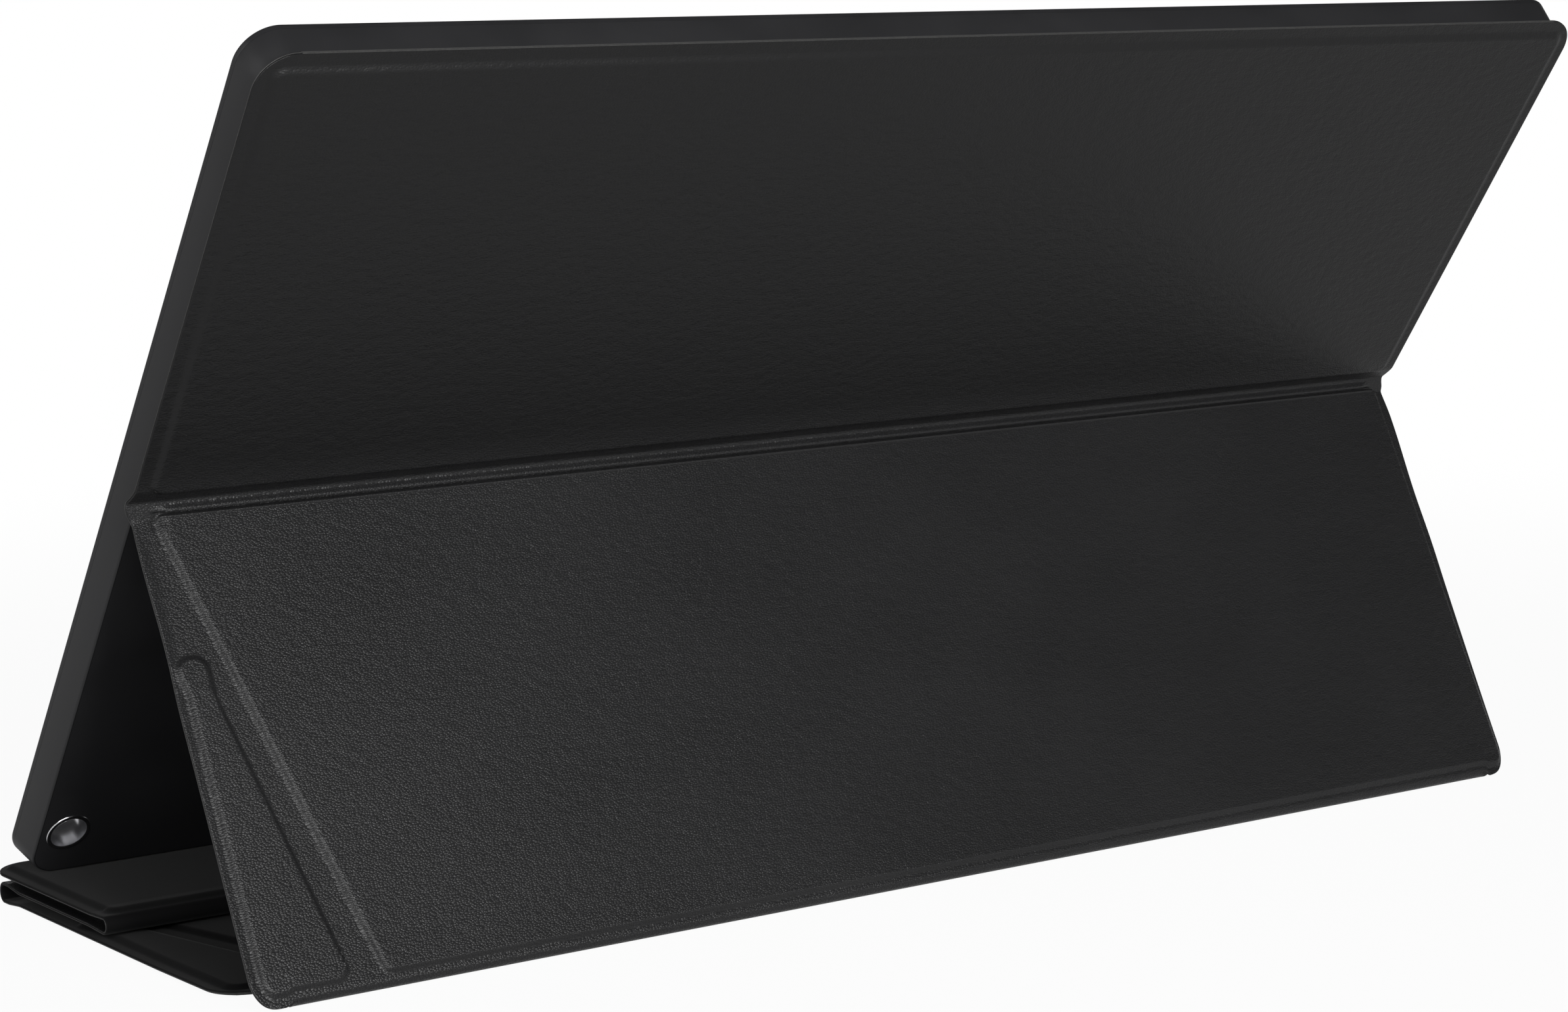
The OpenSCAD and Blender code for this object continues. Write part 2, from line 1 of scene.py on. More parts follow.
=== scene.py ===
"""Looks of a portable monitor that leans back in its folding cover.

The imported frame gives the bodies, the fold axes and the lean of the monitor.  Every
surface here is a grid of points worked out with numpy.  The cover is one strip whose
section is a single path in the Y-Z plane: down the monitor's back, over the main
crease, down the leg, round its foot, along the table and through two hairpins.
Lengths are in millimetres and become metres when a mesh is made.
"""
import json
import logging
import math
from dataclasses import dataclass, field
from enum import Enum
from typing import Sequence

import bpy
import numpy as np
from mathutils import Matrix, Vector


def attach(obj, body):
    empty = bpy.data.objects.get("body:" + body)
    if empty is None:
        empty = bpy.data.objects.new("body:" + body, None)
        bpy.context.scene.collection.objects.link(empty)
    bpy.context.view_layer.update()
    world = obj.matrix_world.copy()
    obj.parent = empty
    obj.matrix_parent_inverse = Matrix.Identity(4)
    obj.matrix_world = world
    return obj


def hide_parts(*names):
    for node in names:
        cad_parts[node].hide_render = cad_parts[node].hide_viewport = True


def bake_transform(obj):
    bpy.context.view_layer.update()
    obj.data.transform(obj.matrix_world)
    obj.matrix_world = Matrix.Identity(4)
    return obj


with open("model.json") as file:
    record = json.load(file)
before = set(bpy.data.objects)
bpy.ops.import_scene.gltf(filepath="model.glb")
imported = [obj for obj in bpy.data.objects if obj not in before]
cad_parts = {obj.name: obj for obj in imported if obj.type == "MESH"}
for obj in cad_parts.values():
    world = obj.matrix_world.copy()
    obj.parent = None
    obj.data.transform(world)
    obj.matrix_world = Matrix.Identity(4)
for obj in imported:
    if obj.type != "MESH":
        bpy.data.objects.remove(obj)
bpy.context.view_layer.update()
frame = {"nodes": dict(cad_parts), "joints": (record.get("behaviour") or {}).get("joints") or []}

MM = 0.001
LOG = logging.getLogger("portable_monitor")
Array = np.ndarray


class Side(Enum):
    """The two faces of the cover's laminate."""

    LEATHER = 1
    LINING = -1


class Layer(Enum):
    """Panels of the cover, in order along its section."""

    UPPER = "upper"
    LEG = "leg"
    TABLE = "table"
    SECOND = "second"
    TOP = "top"


# ---------------------------------------------------------------------------
# Meshes from arrays
# ---------------------------------------------------------------------------
def make_object(name: str, points: Array, faces: Sequence[Sequence[int]], sharp: float = 40.0) -> bpy.types.Object:
    """Makes a smooth-shaded mesh object from points and faces.

    Args:
        name: Name of the object and its mesh.
        points: N by 3 array of places in millimetres.
        faces: Lists of point numbers, wound so that normals point outwards.
        sharp: Edges that turn by more than this many degrees stay sharp.

    Returns:
        The new object, at the origin and linked to the scene.
    """
    mesh = bpy.data.meshes.new(name)
    mesh.from_pydata((np.asarray(points) * MM).tolist(), [], [list(map(int, f)) for f in faces])
    mesh.update()
    mesh.shade_smooth()
    mesh.set_sharp_from_angle(angle=math.radians(sharp))
    obj = bpy.data.objects.new(name, mesh)
    bpy.context.scene.collection.objects.link(obj)
    return obj


def grid_faces(rows: int, cols: int, start: int = 0, wrap_cols: bool = False, flip: bool = False) -> Array:
    """Numbers the quads of a grid whose points are stored row by row.

    Args:
        rows: Rows of points.
        cols: Points in a row.
        start: Number of the grid's first point.
        wrap_cols: Whether the last column joins the first.
        flip: Whether to wind the quads the other way.

    Returns:
        An M by 4 array of point numbers.
    """
    i, j = np.meshgrid(np.arange(rows - 1), np.arange(cols if wrap_cols else cols - 1), indexing="ij")
    k = (j + 1) % cols
    quads = np.stack([i * cols + j, i * cols + k, (i + 1) * cols + k, (i + 1) * cols + j], -1).reshape(-1, 4)
    return (quads[:, ::-1] if flip else quads) + start


def torus_faces(rows: int, cols: int) -> Array:
    """Numbers the quads of a grid whose rows and columns both join end to end.

    Args:
        rows: Rows of points.
        cols: Points in a row.

    Returns:
        An M by 4 array of point numbers.
    """
    closing = grid_faces(2, cols, wrap_cols=True)
    closing = np.where(closing >= cols, closing - cols, closing + (rows - 1) * cols)
    return np.vstack([grid_faces(rows, cols, wrap_cols=True), closing])


def add_uv(obj: bpy.types.Object, uv: Array) -> None:
    """Gives a mesh one UV place for each point, in metres.

    Args:
        obj: The mesh object.
        uv: N by 2 array in millimetres.
    """
    mesh = obj.data
    corner_points = np.zeros(len(mesh.loops), np.int32)
    mesh.loops.foreach_get("vertex_index", corner_points)
    layer = mesh.uv_layers.new(name="surface")
    layer.data.foreach_set("uv", (uv[corner_points] * MM).astype(np.float32).ravel())


def smoothstep(t: Array) -> Array:
    """Eases from 0 to 1: three t squared less two t cubed, held outside that range."""
    t = np.clip(t, 0.0, 1.0)
    return t * t * (3.0 - 2.0 * t)


def rounded_rectangle(width: float, height: float, radius: float, corner_steps: int) -> Array:
    """Points round a rectangle centred on x with its lower side on z = 0.

    Each corner is a quarter circle about its own centre.

    Args:
        width: Size along x.
        height: Size along z.
        radius: Corner radius.
        corner_steps: Segments in each quarter circle.

    Returns:
        K by 2 array of x and z, anticlockwise from the lower right corner.
    """
    quarter = np.linspace(0.0, math.pi / 2, corner_steps + 1)
    turn = np.array([-0.5, 0.0, 0.5, 1.0]) * math.pi
    centre_x = (width / 2 - radius) * np.array([1, 1, -1, -1])
    centre_z = np.array([radius, height - radius, height - radius, radius])
    angle = turn[:, None] + quarter[None, :]
    x = centre_x[:, None] + radius * np.cos(angle)
    z = centre_z[:, None] + radius * np.sin(angle)
    return np.stack([x.ravel(), z.ravel()], -1)


def cut(obj: bpy.types.Object, cutters: Sequence[bpy.types.Object], sharp: float = 35.0) -> None:
    """Takes the cutters' shapes out of a mesh and removes the cutters.

    Args:
        obj: The closed mesh to cut.
        cutters: Closed meshes.
        sharp: Edges that turn by more than this many degrees stay sharp.
    """
    for cutter in cutters:
        modifier = obj.modifiers.new("cut", "BOOLEAN")
        modifier.operation = "DIFFERENCE"
        modifier.solver = "EXACT"
        modifier.object = cutter
    graph = bpy.context.evaluated_depsgraph_get()
    mesh = bpy.data.meshes.new_from_object(obj.evaluated_get(graph))
    obj.modifiers.clear()
    obj.data = mesh
    for cutter in cutters:
        bpy.data.objects.remove(cutter)
    mesh.shade_smooth()
    mesh.set_sharp_from_angle(angle=math.radians(sharp))


# ---------------------------------------------------------------------------
# Places, from the frame
# ---------------------------------------------------------------------------
@dataclass(frozen=True)
class Axes:
    """Where the parts stand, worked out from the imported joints."""

    cover_depth: float = 9.5
    crease_height: float = 110.0
    joints: dict = field(default_factory=lambda: {j["name"]: j for j in frame["joints"]})

    def axis_yz(self, joint: str) -> Array:
        """Place of a fold's axis in the Y-Z plane, in millimetres."""
        return np.array(self.joints[joint]["pos_m"][1:]) / MM

    @property
    def out(self) -> Array:
        """Direction from the screen to the monitor's back."""
        return np.array(self.joints["power_press"]["axis"][1:])

    @property
    def up(self) -> Array:
        """Direction up the monitor."""
        return np.array([-self.out[1], self.out[0]])

    @property
    def monitor_origin(self) -> Array:
        """The bottom edge of the screen face, in the Y-Z plane."""
        crease = self.axis_yz("main_crease_fold")
        return crease - self.out * self.cover_depth - self.up * self.crease_height

    @property
    def leg_down(self) -> Array:
        """Direction down the leg."""
        span = self.axis_yz("foot_crease_fold") - self.axis_yz("main_crease_fold")
        return span / np.linalg.norm(span)

    def on_monitor(self, depth: float, height: float) -> Array:
        """Y-Z place of a point given by its depth behind the screen and height up it."""
        return self.monitor_origin + self.out * depth + self.up * height

    def on_leg(self, distance: float) -> Array:
        """Y-Z place in the leg's middle plane, so far down from the main crease."""
        return self.axis_yz("main_crease_fold") + self.leg_down * distance

    def monitor_points(self, x: Array, depth: Array, height: Array) -> Array:
        """Turns monitor coordinates into the frame's.

        Args:
            x: Place across.
            depth: Place behind the screen face.
            height: Place up from the bottom edge.

        Returns:
            N by 3 array in the frame's axes.
        """
        x, depth, height = (np.ravel(a) for a in np.broadcast_arrays(x, depth, height))
        yz = self.monitor_origin + depth[:, None] * self.out + height[:, None] * self.up
        return np.column_stack([x, yz])


AXES = Axes()


# ---------------------------------------------------------------------------
# Finishes
# ---------------------------------------------------------------------------
class Tree:
    """A node tree with short calls to add and join nodes."""

    def __init__(self, tree: bpy.types.NodeTree) -> None:
        """Empties the tree."""
        self.tree = tree
        self.tree.nodes.clear()

    def add(self, kind: str, **settings: object) -> bpy.types.Node:
        """Adds a node and sets its properties.

        Args:
            kind: Type of the node.
            settings: Properties of the node by name.

        Returns:
            The node.
        """
        node = self.tree.nodes.new(kind)
        for key, value in settings.items():
            setattr(node, key, value)
        return node

    def join(self, source: bpy.types.Node, output: str, target: bpy.types.Node, socket: str | int) -> None:
        """Links one node's output to another's input."""
        self.tree.links.new(source.outputs[output], target.inputs[socket])

    def set(self, node: bpy.types.Node, **values: object) -> None:
        """Sets input sockets by name, with underscores for spaces."""
        for key, value in values.items():
            node.inputs[key.replace("_", " ")].default_value = value

    def emission(self, kind: str, strength: float | bpy.types.NodeSocket = 1.0) -> bpy.types.Node:
        """Adds a white light source of a kind, with a number or a socket for its strength.

        Args:
            kind: Type of the light-giving node.
            strength: A number, or a socket that gives it.

        Returns:
            The node.
        """
        node = self.add(kind)
        self.set(node, Color=(1.0, 1.0, 1.0, 1.0))
        if isinstance(strength, bpy.types.NodeSocket):
            self.tree.links.new(strength, node.inputs["Strength"])
        else:
            self.set(node, Strength=strength)
        return node

    def ramp(self, source: bpy.types.Node, output: str, low: float, high: float, start: Sequence[float],
             end: Sequence[float]) -> bpy.types.Node:
        """Adds a colour ramp that runs from one colour to another between two values.

        Args:
            source: The node that gives the value.
            output: Name of its output.
            low: Value where the first colour ends.
            high: Value where the second colour starts.
            start: The first colour.
            end: The second colour.

        Returns:
            The ramp node.
        """
        node = self.add("ShaderNodeValToRGB")
        node.color_ramp.elements[0].position = low
        node.color_ramp.elements[1].position = high
        node.color_ramp.elements[0].color = (*start, 1.0)
        node.color_ramp.elements[1].color = (*end, 1.0)
        self.join(source, output, node, "Fac")
        return node

    def place(self, from_surface: bool, scale: tuple[float, float, float] = (1.0, 1.0, 1.0)) -> bpy.types.Node:
        """Adds coordinates: the surface's own, or the object's, scaled.

        Args:
            from_surface: Whether to use the surface's own coordinates, not the object's.
            scale: Scale along each axis.

        Returns:
            A node whose output Vector is the place.
        """
        coordinates = self.add("ShaderNodeTexCoord")
        mapping = self.add("ShaderNodeMapping")
        mapping.inputs["Scale"].default_value = scale
        self.join(coordinates, "UV" if from_surface else "Object", mapping, "Vector")
        return mapping

    def noise(self, source: bpy.types.Node, output: str = "Vector", **values: float) -> bpy.types.Node:
        """Adds a noise pattern over a node's vector.

        Args:
            source: The node that gives the place.
            output: Name of its output.
            values: Input values by name, with underscores for spaces.

        Returns:
            The noise node.
        """
        node = self.add("ShaderNodeTexNoise")
        self.set(node, **values)
        self.join(source, output, node, "Vector")
        return node

    def scaled(self, source: bpy.types.Node, output: str, span: tuple[float, float],
               result: tuple[float, float], **settings: str) -> bpy.types.Node:
        """Adds a node that carries one span of values over to another.

        Args:
            source: The node that gives the value.
            output: Name of its output.
            span: The two ends of the values that come in.
            result: What those ends become.
            settings: Properties of the node by name.

        Returns:
            The node, whose output is Result.
        """
        node = self.add("ShaderNodeMapRange", **settings)
        self.set(node, From_Min=span[0], From_Max=span[1], To_Min=result[0], To_Max=result[1])
        self.join(source, output, node, "Value")
        return node

    def math(self, operation: str, source: bpy.types.Node, output: str, value: float | None = None) -> bpy.types.Node:
        """Adds a sum or test of a node's output, with a number where one is given.

        Args:
            operation: What it works out.
            source: The node that gives the value.
            output: Name of its output.
            value: The second number, where there is one.

        Returns:
            The node, whose output is Value.
        """
        node = self.add("ShaderNodeMath", operation=operation)
        if value is not None:
            node.inputs[1].default_value = value
        self.join(source, output, node, 0)
        return node

    def mixed(self, first: bpy.types.NodeSocket, second: bpy.types.NodeSocket | Sequence[float],
              factor: bpy.types.NodeSocket | float, blend: str = "MIX") -> bpy.types.Node:
        """Adds a mix of two colours, whose result is its output 2.

        Args:
            first: Socket of the first colour.
            second: Socket or value of the second colour.
            factor: Socket or value of the share of the second.
            blend: How the second is laid over the first.

        Returns:
            The mix node.
        """
        node = self.add("ShaderNodeMix", data_type="RGBA", blend_type=blend)
        for value, place in ((factor, 0), (first, 6), (second, 7)):
            if isinstance(value, bpy.types.NodeSocket):
                self.tree.links.new(value, node.inputs[place])
            else:
                node.inputs[place].default_value = value
        return node

    def bump(self, height: bpy.types.Node, output: str, strength: float, distance: float,
             below: bpy.types.Node | None = None) -> bpy.types.Node:
        """Adds a bump whose height is in metres, on top of another where one is given.

        Args:
            height: The node that gives the height.
            output: Name of its output.
            strength: How strongly the bump counts.
            distance: Height of the bump, in metres.
            below: The bump that this one lies on.

        Returns:
            The bump node.
        """
        node = self.add("ShaderNodeBump")
        self.set(node, Strength=strength, Distance=distance)
        self.join(height, output, node, "Height")
        if below is not None:
            self.join(below, "Normal", node, "Normal")
        return node


class Nodes(Tree):
    """A material's node tree, started with its shader and output."""

    def __init__(self, name: str) -> None:
        """Starts a material with only its shader and output.

        Args:
            name: Name of the material.
        """
        self.material = bpy.data.materials.new(name)
        self.material.use_nodes = True
        super().__init__(self.material.node_tree)
        self.shader = self.add("ShaderNodeBsdfPrincipled")
        self.output = self.add("ShaderNodeOutputMaterial")
        self.join(self.shader, "BSDF", self.output, "Surface")


@dataclass(frozen=True)
class Leather:
    """Coated leather with a fine pebbled grain."""

    name: str = "cover_leather"
    colour: tuple[float, float, float] = (0.0128, 0.0128, 0.0132)
    crevice: tuple[float, float, float] = (0.005, 0.005, 0.0052)
    grain: float = 0.00046
    grain_depth: float = 0.000075
    roundness: float = 0.78
    roughness: float = 0.31
    strength: float = 0.9
    specular: float = 0.21
    # painted shade: the downward-facing upper panel takes this dim colour, faded in over this span of height in
    # metres
    upper_from: tuple[float, float] = (0.098, 0.108)
    upper_shade_colour: tuple[float, float, float] = (0.0062, 0.0062, 0.0064)

    def build(self) -> bpy.types.Material:
        """Pebbles are flat-topped cells with low domes and narrow seams, bent by a soft noise.

        By a smoothstep of the height, the upper panel is given painted shade: a dim, even tone
        for the light it misses as it faces down.  Its grain also goes flatter.

        Returns:
            The material.
        """
        n = Nodes(self.name)
        surface = n.place(True, (0.68, 1.0, 1.0))
        bend = n.noise(surface, Scale=0.4 / self.grain, Detail=2.0, Roughness=0.5)
        shift = n.add("ShaderNodeVectorMath", operation="MULTIPLY_ADD")
        shift.inputs[1].default_value = (0.8 * self.grain,) * 3
        n.join(bend, "Color", shift, 0)
        n.join(surface, "Vector", shift, 2)
        cells = n.add("ShaderNodeTexVoronoi", feature="F1", voronoi_dimensions="2D")
        edges = n.add("ShaderNodeTexVoronoi", feature="DISTANCE_TO_EDGE", voronoi_dimensions="2D")
        for pattern in (cells, edges):
            n.set(pattern, Scale=1.0 / self.grain, Randomness=0.95)
            n.join(shift, "Vector", pattern, "Vector")
        dome = n.ramp(cells, "Distance", 0.0, 0.8, (1.0, 1.0, 1.0), (0.0, 0.0, 0.0))
        plate = n.ramp(edges, "Distance", 0.0, 0.2, (0.0, 0.0, 0.0), (1.0, 1.0, 1.0))
        pebble = n.mixed(plate.outputs["Color"], dome.outputs["Color"], self.roundness)
        wide = n.noise(surface, Scale=26.0, Detail=3.0, Roughness=0.55)
        fine = n.noise(surface, Scale=5.0 / self.grain, Detail=3.0, Roughness=0.6)
        rolling = n.noise(surface, Scale=0.22 / self.grain, Detail=2.0, Roughness=0.6)
        tone = n.ramp(edges, "Distance", 0.0, 0.14, self.crevice, self.colour)
        worn = n.ramp(wide, "Fac", 0.3, 0.75, (0.86,) * 3, (1.12,) * 3)
        toned = n.mixed(tone.outputs["Color"], worn.outputs["Color"], 1.0, "MULTIPLY")
        height = n.add("ShaderNodeSeparateXYZ")
        n.join(n.place(False), "Vector", height, "Vector")
        # painted shade: a smoothstep of the height gives the downward-facing upper panel a dim, even colour
        upper = n.scaled(height, "Z", self.upper_from, (0.0, 1.0), interpolation_type="SMOOTHSTEP")
        shaded_upper = n.mixed(toned.outputs[2], (*self.upper_shade_colour, 1.0), upper.outputs["Result"])
        n.tree.links.new(shaded_upper.outputs[2], n.shader.inputs["Base Color"])
        flatter = n.scaled(upper, "Result", (0.0, 1.0), (self.strength, 0.45 * self.strength))
        gloss = n.scaled(fine, "Fac", (0.3, 0.7), (self.roughness - 0.05, self.roughness + 0.08))
        n.join(gloss, "Result", n.shader, "Roughness")
        soft = n.bump(fine, "Fac", 0.15, self.grain_depth * 0.5)
        swell = n.bump(rolling, "Fac", 0.8, self.grain_depth * 2.4, soft)
        grain = n.add("ShaderNodeBump")
        n.set(grain, Distance=self.grain_depth)
        n.join(flatter, "Result", grain, "Strength")
        n.tree.links.new(pebble.outputs[2], grain.inputs["Height"])
        n.join(swell, "Normal", grain, "Normal")
        n.join(grain, "Normal", n.shader, "Normal")
        n.shader.inputs["Specular IOR Level"].default_value = self.specular
        return n.material


@dataclass(frozen=True)
class Microfibre:
    """Short brushed nap of the cover's lining."""

    name: str = "cover_lining"
    colour: tuple[float, float, float] = (0.0042, 0.0042, 0.0044)
    dark: tuple[float, float, float] = (0.0027, 0.0027, 0.0029)

    def build(self) -> bpy.types.Material:
        """A fine noise for the nap and a wide one for where it has been stroked.

        Returns:
            The material.
        """
        n = Nodes(self.name)
        surface = n.place(True)
        nap = n.noise(surface, Scale=3800.0, Detail=3.0, Roughness=0.65)
        stroke = n.noise(surface, Scale=32.0, Detail=4.0, Roughness=0.6, Distortion=0.8)
        tone = n.ramp(stroke, "Fac", 0.3, 0.7, self.dark, self.colour)
        n.join(tone, "Color", n.shader, "Base Color")
        fuzz = n.bump(nap, "Fac", 0.5, 0.00004)
        n.join(fuzz, "Normal", n.shader, "Normal")
        n.set(n.shader, Roughness=0.82, Sheen_Weight=0.06, Sheen_Roughness=0.4, Specular_IOR_Level=0.12)
        return n.material


@dataclass(frozen=True)
class CutEdge:
    """Raw edge of the laminate: a paler core between dark coats."""

    name: str
    colour: tuple[float, float, float] = (0.06, 0.06, 0.058)

    def build(self) -> bpy.types.Material:
        """Fibres as a stretched noise.

        Returns:
            The material.
        """
        n = Nodes(self.name)
        surface = n.place(False, (900.0, 900.0, 900.0))
        fibre = n.noise(surface, Scale=2.0, Detail=3.0, Roughness=0.6)
        dark = tuple(0.55 * c for c in self.colour)
        tone = n.ramp(fibre, "Fac", 0.3, 0.7, dark, self.colour)
        n.join(tone, "Color", n.shader, "Base Color")
        rough = n.bump(fibre, "Fac", 0.4, 0.00005)
        n.join(rough, "Normal", n.shader, "Normal")
        n.set(n.shader, Roughness=0.7)
        return n.material


@dataclass(frozen=True)
class Moulding:
    """Plain moulded plastic, painted metal or board with a fine even texture."""

    name: str
    colour: tuple[float, float, float]
    roughness: float = 0.5
    metallic: float = 0.0
    texture: float = 2600.0
    depth: float = 0.00001
    strength: float = 0.25
    spread: float = 0.12
    specular: float = 0.5

    def build(self) -> bpy.types.Material:
        """A fine noise bumps the surface, and a wider one shifts its tone and gloss.

        Returns:
            The material.
        """
        n = Nodes(self.name)
        place = n.place(False)
        fine = n.noise(place, Scale=self.texture, Detail=3.0, Roughness=0.6)
        wide = n.noise(place, Scale=45.0, Detail=3.0, Roughness=0.5)
        low = tuple((1.0 - self.spread) * c for c in self.colour)
        high = tuple(min(1.0, (1.0 + self.spread) * c) for c in self.colour)
        tone = n.ramp(wide, "Fac", 0.3, 0.7, low, high)
        n.join(tone, "Color", n.shader, "Base Color")
        gloss = n.scaled(wide, "Fac", (0.3, 0.7), (max(0.03, self.roughness - 0.04), self.roughness + 0.04))
        n.join(gloss, "Result", n.shader, "Roughness")
        bump = n.bump(fine, "Fac", self.strength, self.depth)
        n.join(bump, "Normal", n.shader, "Normal")
        n.set(n.shader, Metallic=self.metallic, Specular_IOR_Level=self.specular)
        return n.material


@dataclass(frozen=True)
class ScreenGlass:
    """Dark liquid crystal glass: a black margin round a faintly paler picture."""

    name: str = "screen_glass"
    width: float = 344.2
    low: float = 24.8
    high: float = 218.4

    def build(self) -> bpy.types.Material:
        """The margin is told from the picture by place in the monitor's own frame.

        Returns:
            The material.
        """
        n = Nodes(self.name)
        coordinates = n.add("ShaderNodeTexCoord")
        lean = math.atan2(-AXES.out[1], AXES.out[0])
        turned = n.add("ShaderNodeMapping", vector_type="POINT")
        origin = AXES.monitor_origin * MM
        turned.inputs["Rotation"].default_value = (lean, 0.0, 0.0)
        back = (0.0, origin[0] * math.cos(lean) - origin[1] * math.sin(lean),
                origin[0] * math.sin(lean) + origin[1] * math.cos(lean))
        turned.inputs["Location"].default_value = tuple(-c for c in back)
        n.join(coordinates, "Object", turned, "Vector")
        parts = n.add("ShaderNodeSeparateXYZ")
        n.join(turned, "Vector", parts, "Vector")
        across = n.math("ABSOLUTE", parts, "X")
        inside_x = n.math("LESS_THAN", across, "Value", self.width / 2 * MM)
        above = n.math("GREATER_THAN", parts, "Z", self.low * MM)
        below = n.math("LESS_THAN", parts, "Z", self.high * MM)
        both = n.math("MULTIPLY", inside_x, "Value")
        n.join(above, "Value", both, 1)
        picture = n.math("MULTIPLY", both, "Value")
        n.join(below, "Value", picture, 1)
        tone = n.ramp(picture, "Value", 0.0, 1.0, (0.003, 0.003, 0.003), (0.008, 0.0085, 0.010))
        n.join(tone, "Color", n.shader, "Base Color")
        haze = n.noise(coordinates, "Object", Scale=4000.0, Detail=2.0)
        bump = n.bump(haze, "Fac", 0.12, 0.00001)
        n.join(bump, "Normal", n.shader, "Normal")
        n.set(n.shader, Roughness=0.22)
        return n.material


# ---------------------------------------------------------------------------
# The cover's section
# ---------------------------------------------------------------------------
@dataclass(frozen=True)
class SectionPath:
    """A smooth path in the Y-Z plane, sampled finely by its own length."""

    length: Array
    place: Array
    normal: Array

    @staticmethod
    def through(corners: Sequence[Array], radii: Sequence[float], step: float = 0.05) -> "SectionPath":
        """Straight runs joined by arcs that are tangent to both.

        Each arc starts and ends at radius times the cotangent of half the corner's
        angle from the corner.

        Args:
            corners: Corner places, the first and last being the path's ends.
            radii: Arc radius at each inner corner.
            step: Spacing of the samples.

        Returns:
            The sampled path.
        """
        pieces = []
        start = np.asarray(corners[0], float)
        for before, corner, after, radius in zip(corners[:-2], corners[1:-1], corners[2:], radii):
            u = (before - corner) / np.linalg.norm(before - corner)
            v = (after - corner) / np.linalg.norm(after - corner)
            half = 0.5 * math.acos(float(np.clip(u @ v, -1.0, 1.0)))
            reach = radius / math.tan(half)
            first, last = corner + u * reach, corner + v * reach
            centre = corner + (u + v) / np.linalg.norm(u + v) * (radius / math.sin(half))
            a = first - centre
            b = last - centre
            sweep = math.atan2(a[0] * b[1] - a[1] * b[0], a @ b)
            t = np.linspace(0.0, 1.0, max(3, int(abs(sweep) * radius / step)))[:, None]
            count = max(2, int(np.linalg.norm(first - start) / step))
            pieces.append(start + (first - start) * np.linspace(0.0, 1.0, count)[:, None])
            c, s = np.cos(sweep * t), np.sin(sweep * t)
            pieces.append(centre + np.hstack([a[0] * c - a[1] * s, a[0] * s + a[1] * c]))
            start = last
        end = np.asarray(corners[-1], float)
        count = max(2, int(np.linalg.norm(end - start) / step))
        pieces.append(start + (end - start) * np.linspace(0.0, 1.0, count)[:, None])
        raw = np.vstack(pieces)
        run = np.linalg.norm(np.diff(raw, axis=0), axis=1)
        raw = raw[np.concatenate([[True], run > 1e-9])]
        length = np.concatenate([[0.0], np.cumsum(np.linalg.norm(np.diff(raw, axis=0), axis=1))])
        even = np.linspace(0.0, length[-1], int(length[-1] / step))
        place = np.column_stack([np.interp(even, length, raw[:, k]) for k in (0, 1)])
        along = np.gradient(place, even, axis=0)
        along /= np.linalg.norm(along, axis=1)[:, None]
        normal = np.column_stack([-along[:, 1], along[:, 0]])
        return SectionPath(even, place, normal)

    def at(self, s: Array) -> tuple[Array, Array]:
        """Places and leather-side normals at the given lengths.

        Args:
            s: Lengths along the path.

        Returns:
            Places and normals, each with a last axis of 2.
        """
        place = np.stack([np.interp(s, self.length, self.place[:, k]) for k in (0, 1)], -1)
        normal = np.stack([np.interp(s, self.length, self.normal[:, k]) for k in (0, 1)], -1)
        return place, normal / np.linalg.norm(normal, axis=-1)[..., None]

    def nearest(self, point: Array) -> float:
        """Length along the path of its nearest sample to a point."""
        return float(self.length[np.argmin(np.linalg.norm(self.place - point, axis=1))])


def outside_distance(x: Array, d: Array, polygon: Array) -> Array:
    """Distance from a polygon's edge, negative inside it.

    It is the least distance to any side, with its sign from how many sides a line
    across crosses.

    Args:
        x: Places across.
        d: Places along.
        polygon: Corners as V by 2.

    Returns:
        The signed distance at each place.
    """
    best = np.full(np.broadcast(x, d).shape, np.inf)
    inside = np.zeros(best.shape, bool)
    for (x0, d0), (x1, d1) in zip(polygon, np.roll(polygon, -1, axis=0)):
        ex, ed = x1 - x0, d1 - d0
        t = np.clip(((x - x0) * ex + (d - d0) * ed) / (ex * ex + ed * ed), 0.0, 1.0)
        best = np.minimum(best, np.hypot(x - x0 - t * ex, d - d0 - t * ed))
        if abs(ed) > 1e-12:
            inside ^= ((d0 > d) != (d1 > d)) & (x < x0 + (d - d0) * ex / ed)
    return np.where(inside, -best, best)


@dataclass(frozen=True)
class CoverSizes:
    """Sizes of the folding cover."""

    width: float = 359.7
    leg_narrower: float = 0.7
    thickness: float = 2.4
    leather: float = 0.4
    lining: float = 0.35
    corner: float = 8.5
    border: float = 4.0
    shoulder: float = 1.45
    steep_shoulder: float = 0.55
    upper_shoulder: float = 2.0
    upper_border: float = 4.6
    lining_softer: float = 1.3
    fold_slope: float = 3.2
    edge_notch: float = 0.2
    leg_taper: float = 1.6
    board_corner: float = 1.5
    bare_above_crease: float = 7.1
    bare_below_crease: float = 0.1
    crease_shoulder: float = 0.25
    bare_at_fold: float = 3.4
    spine: float = 11.5
    spine_inset: float = 9.0
    upper_length: float = 116.4
    leg_length: float = 105.8
    second_length: float = 51.5
    top_length: float = 60.0
    corner_board_length: float = 70.0
    corner_board_width: float = 18.3
    corner_board_tip: float = 3.4
    corner_board_corner: float = 2.2
    foot_corner: float = 5.4
    foot_turn: float = 0.6
    corner_drop: float = 1.1
    edge_curl: float = 0.25
    diagonal: float = 9.1
    diagonal_slope: float = 0.243
    layer_pitch: float = 2.7


@dataclass(frozen=True)
class Board:
    """A stiff board under the sheets: its outline and the shoulder on each of its sides.

    The outline is drawn in by the corner radius, which relief adds back.  Widths are
    those of the leather's shoulder: before and after along the panel, and towards -x.
    """

    layer: Layer
    outline: Array
    before: float
    after: float
    side: float
    inner_side: float
    corner: float


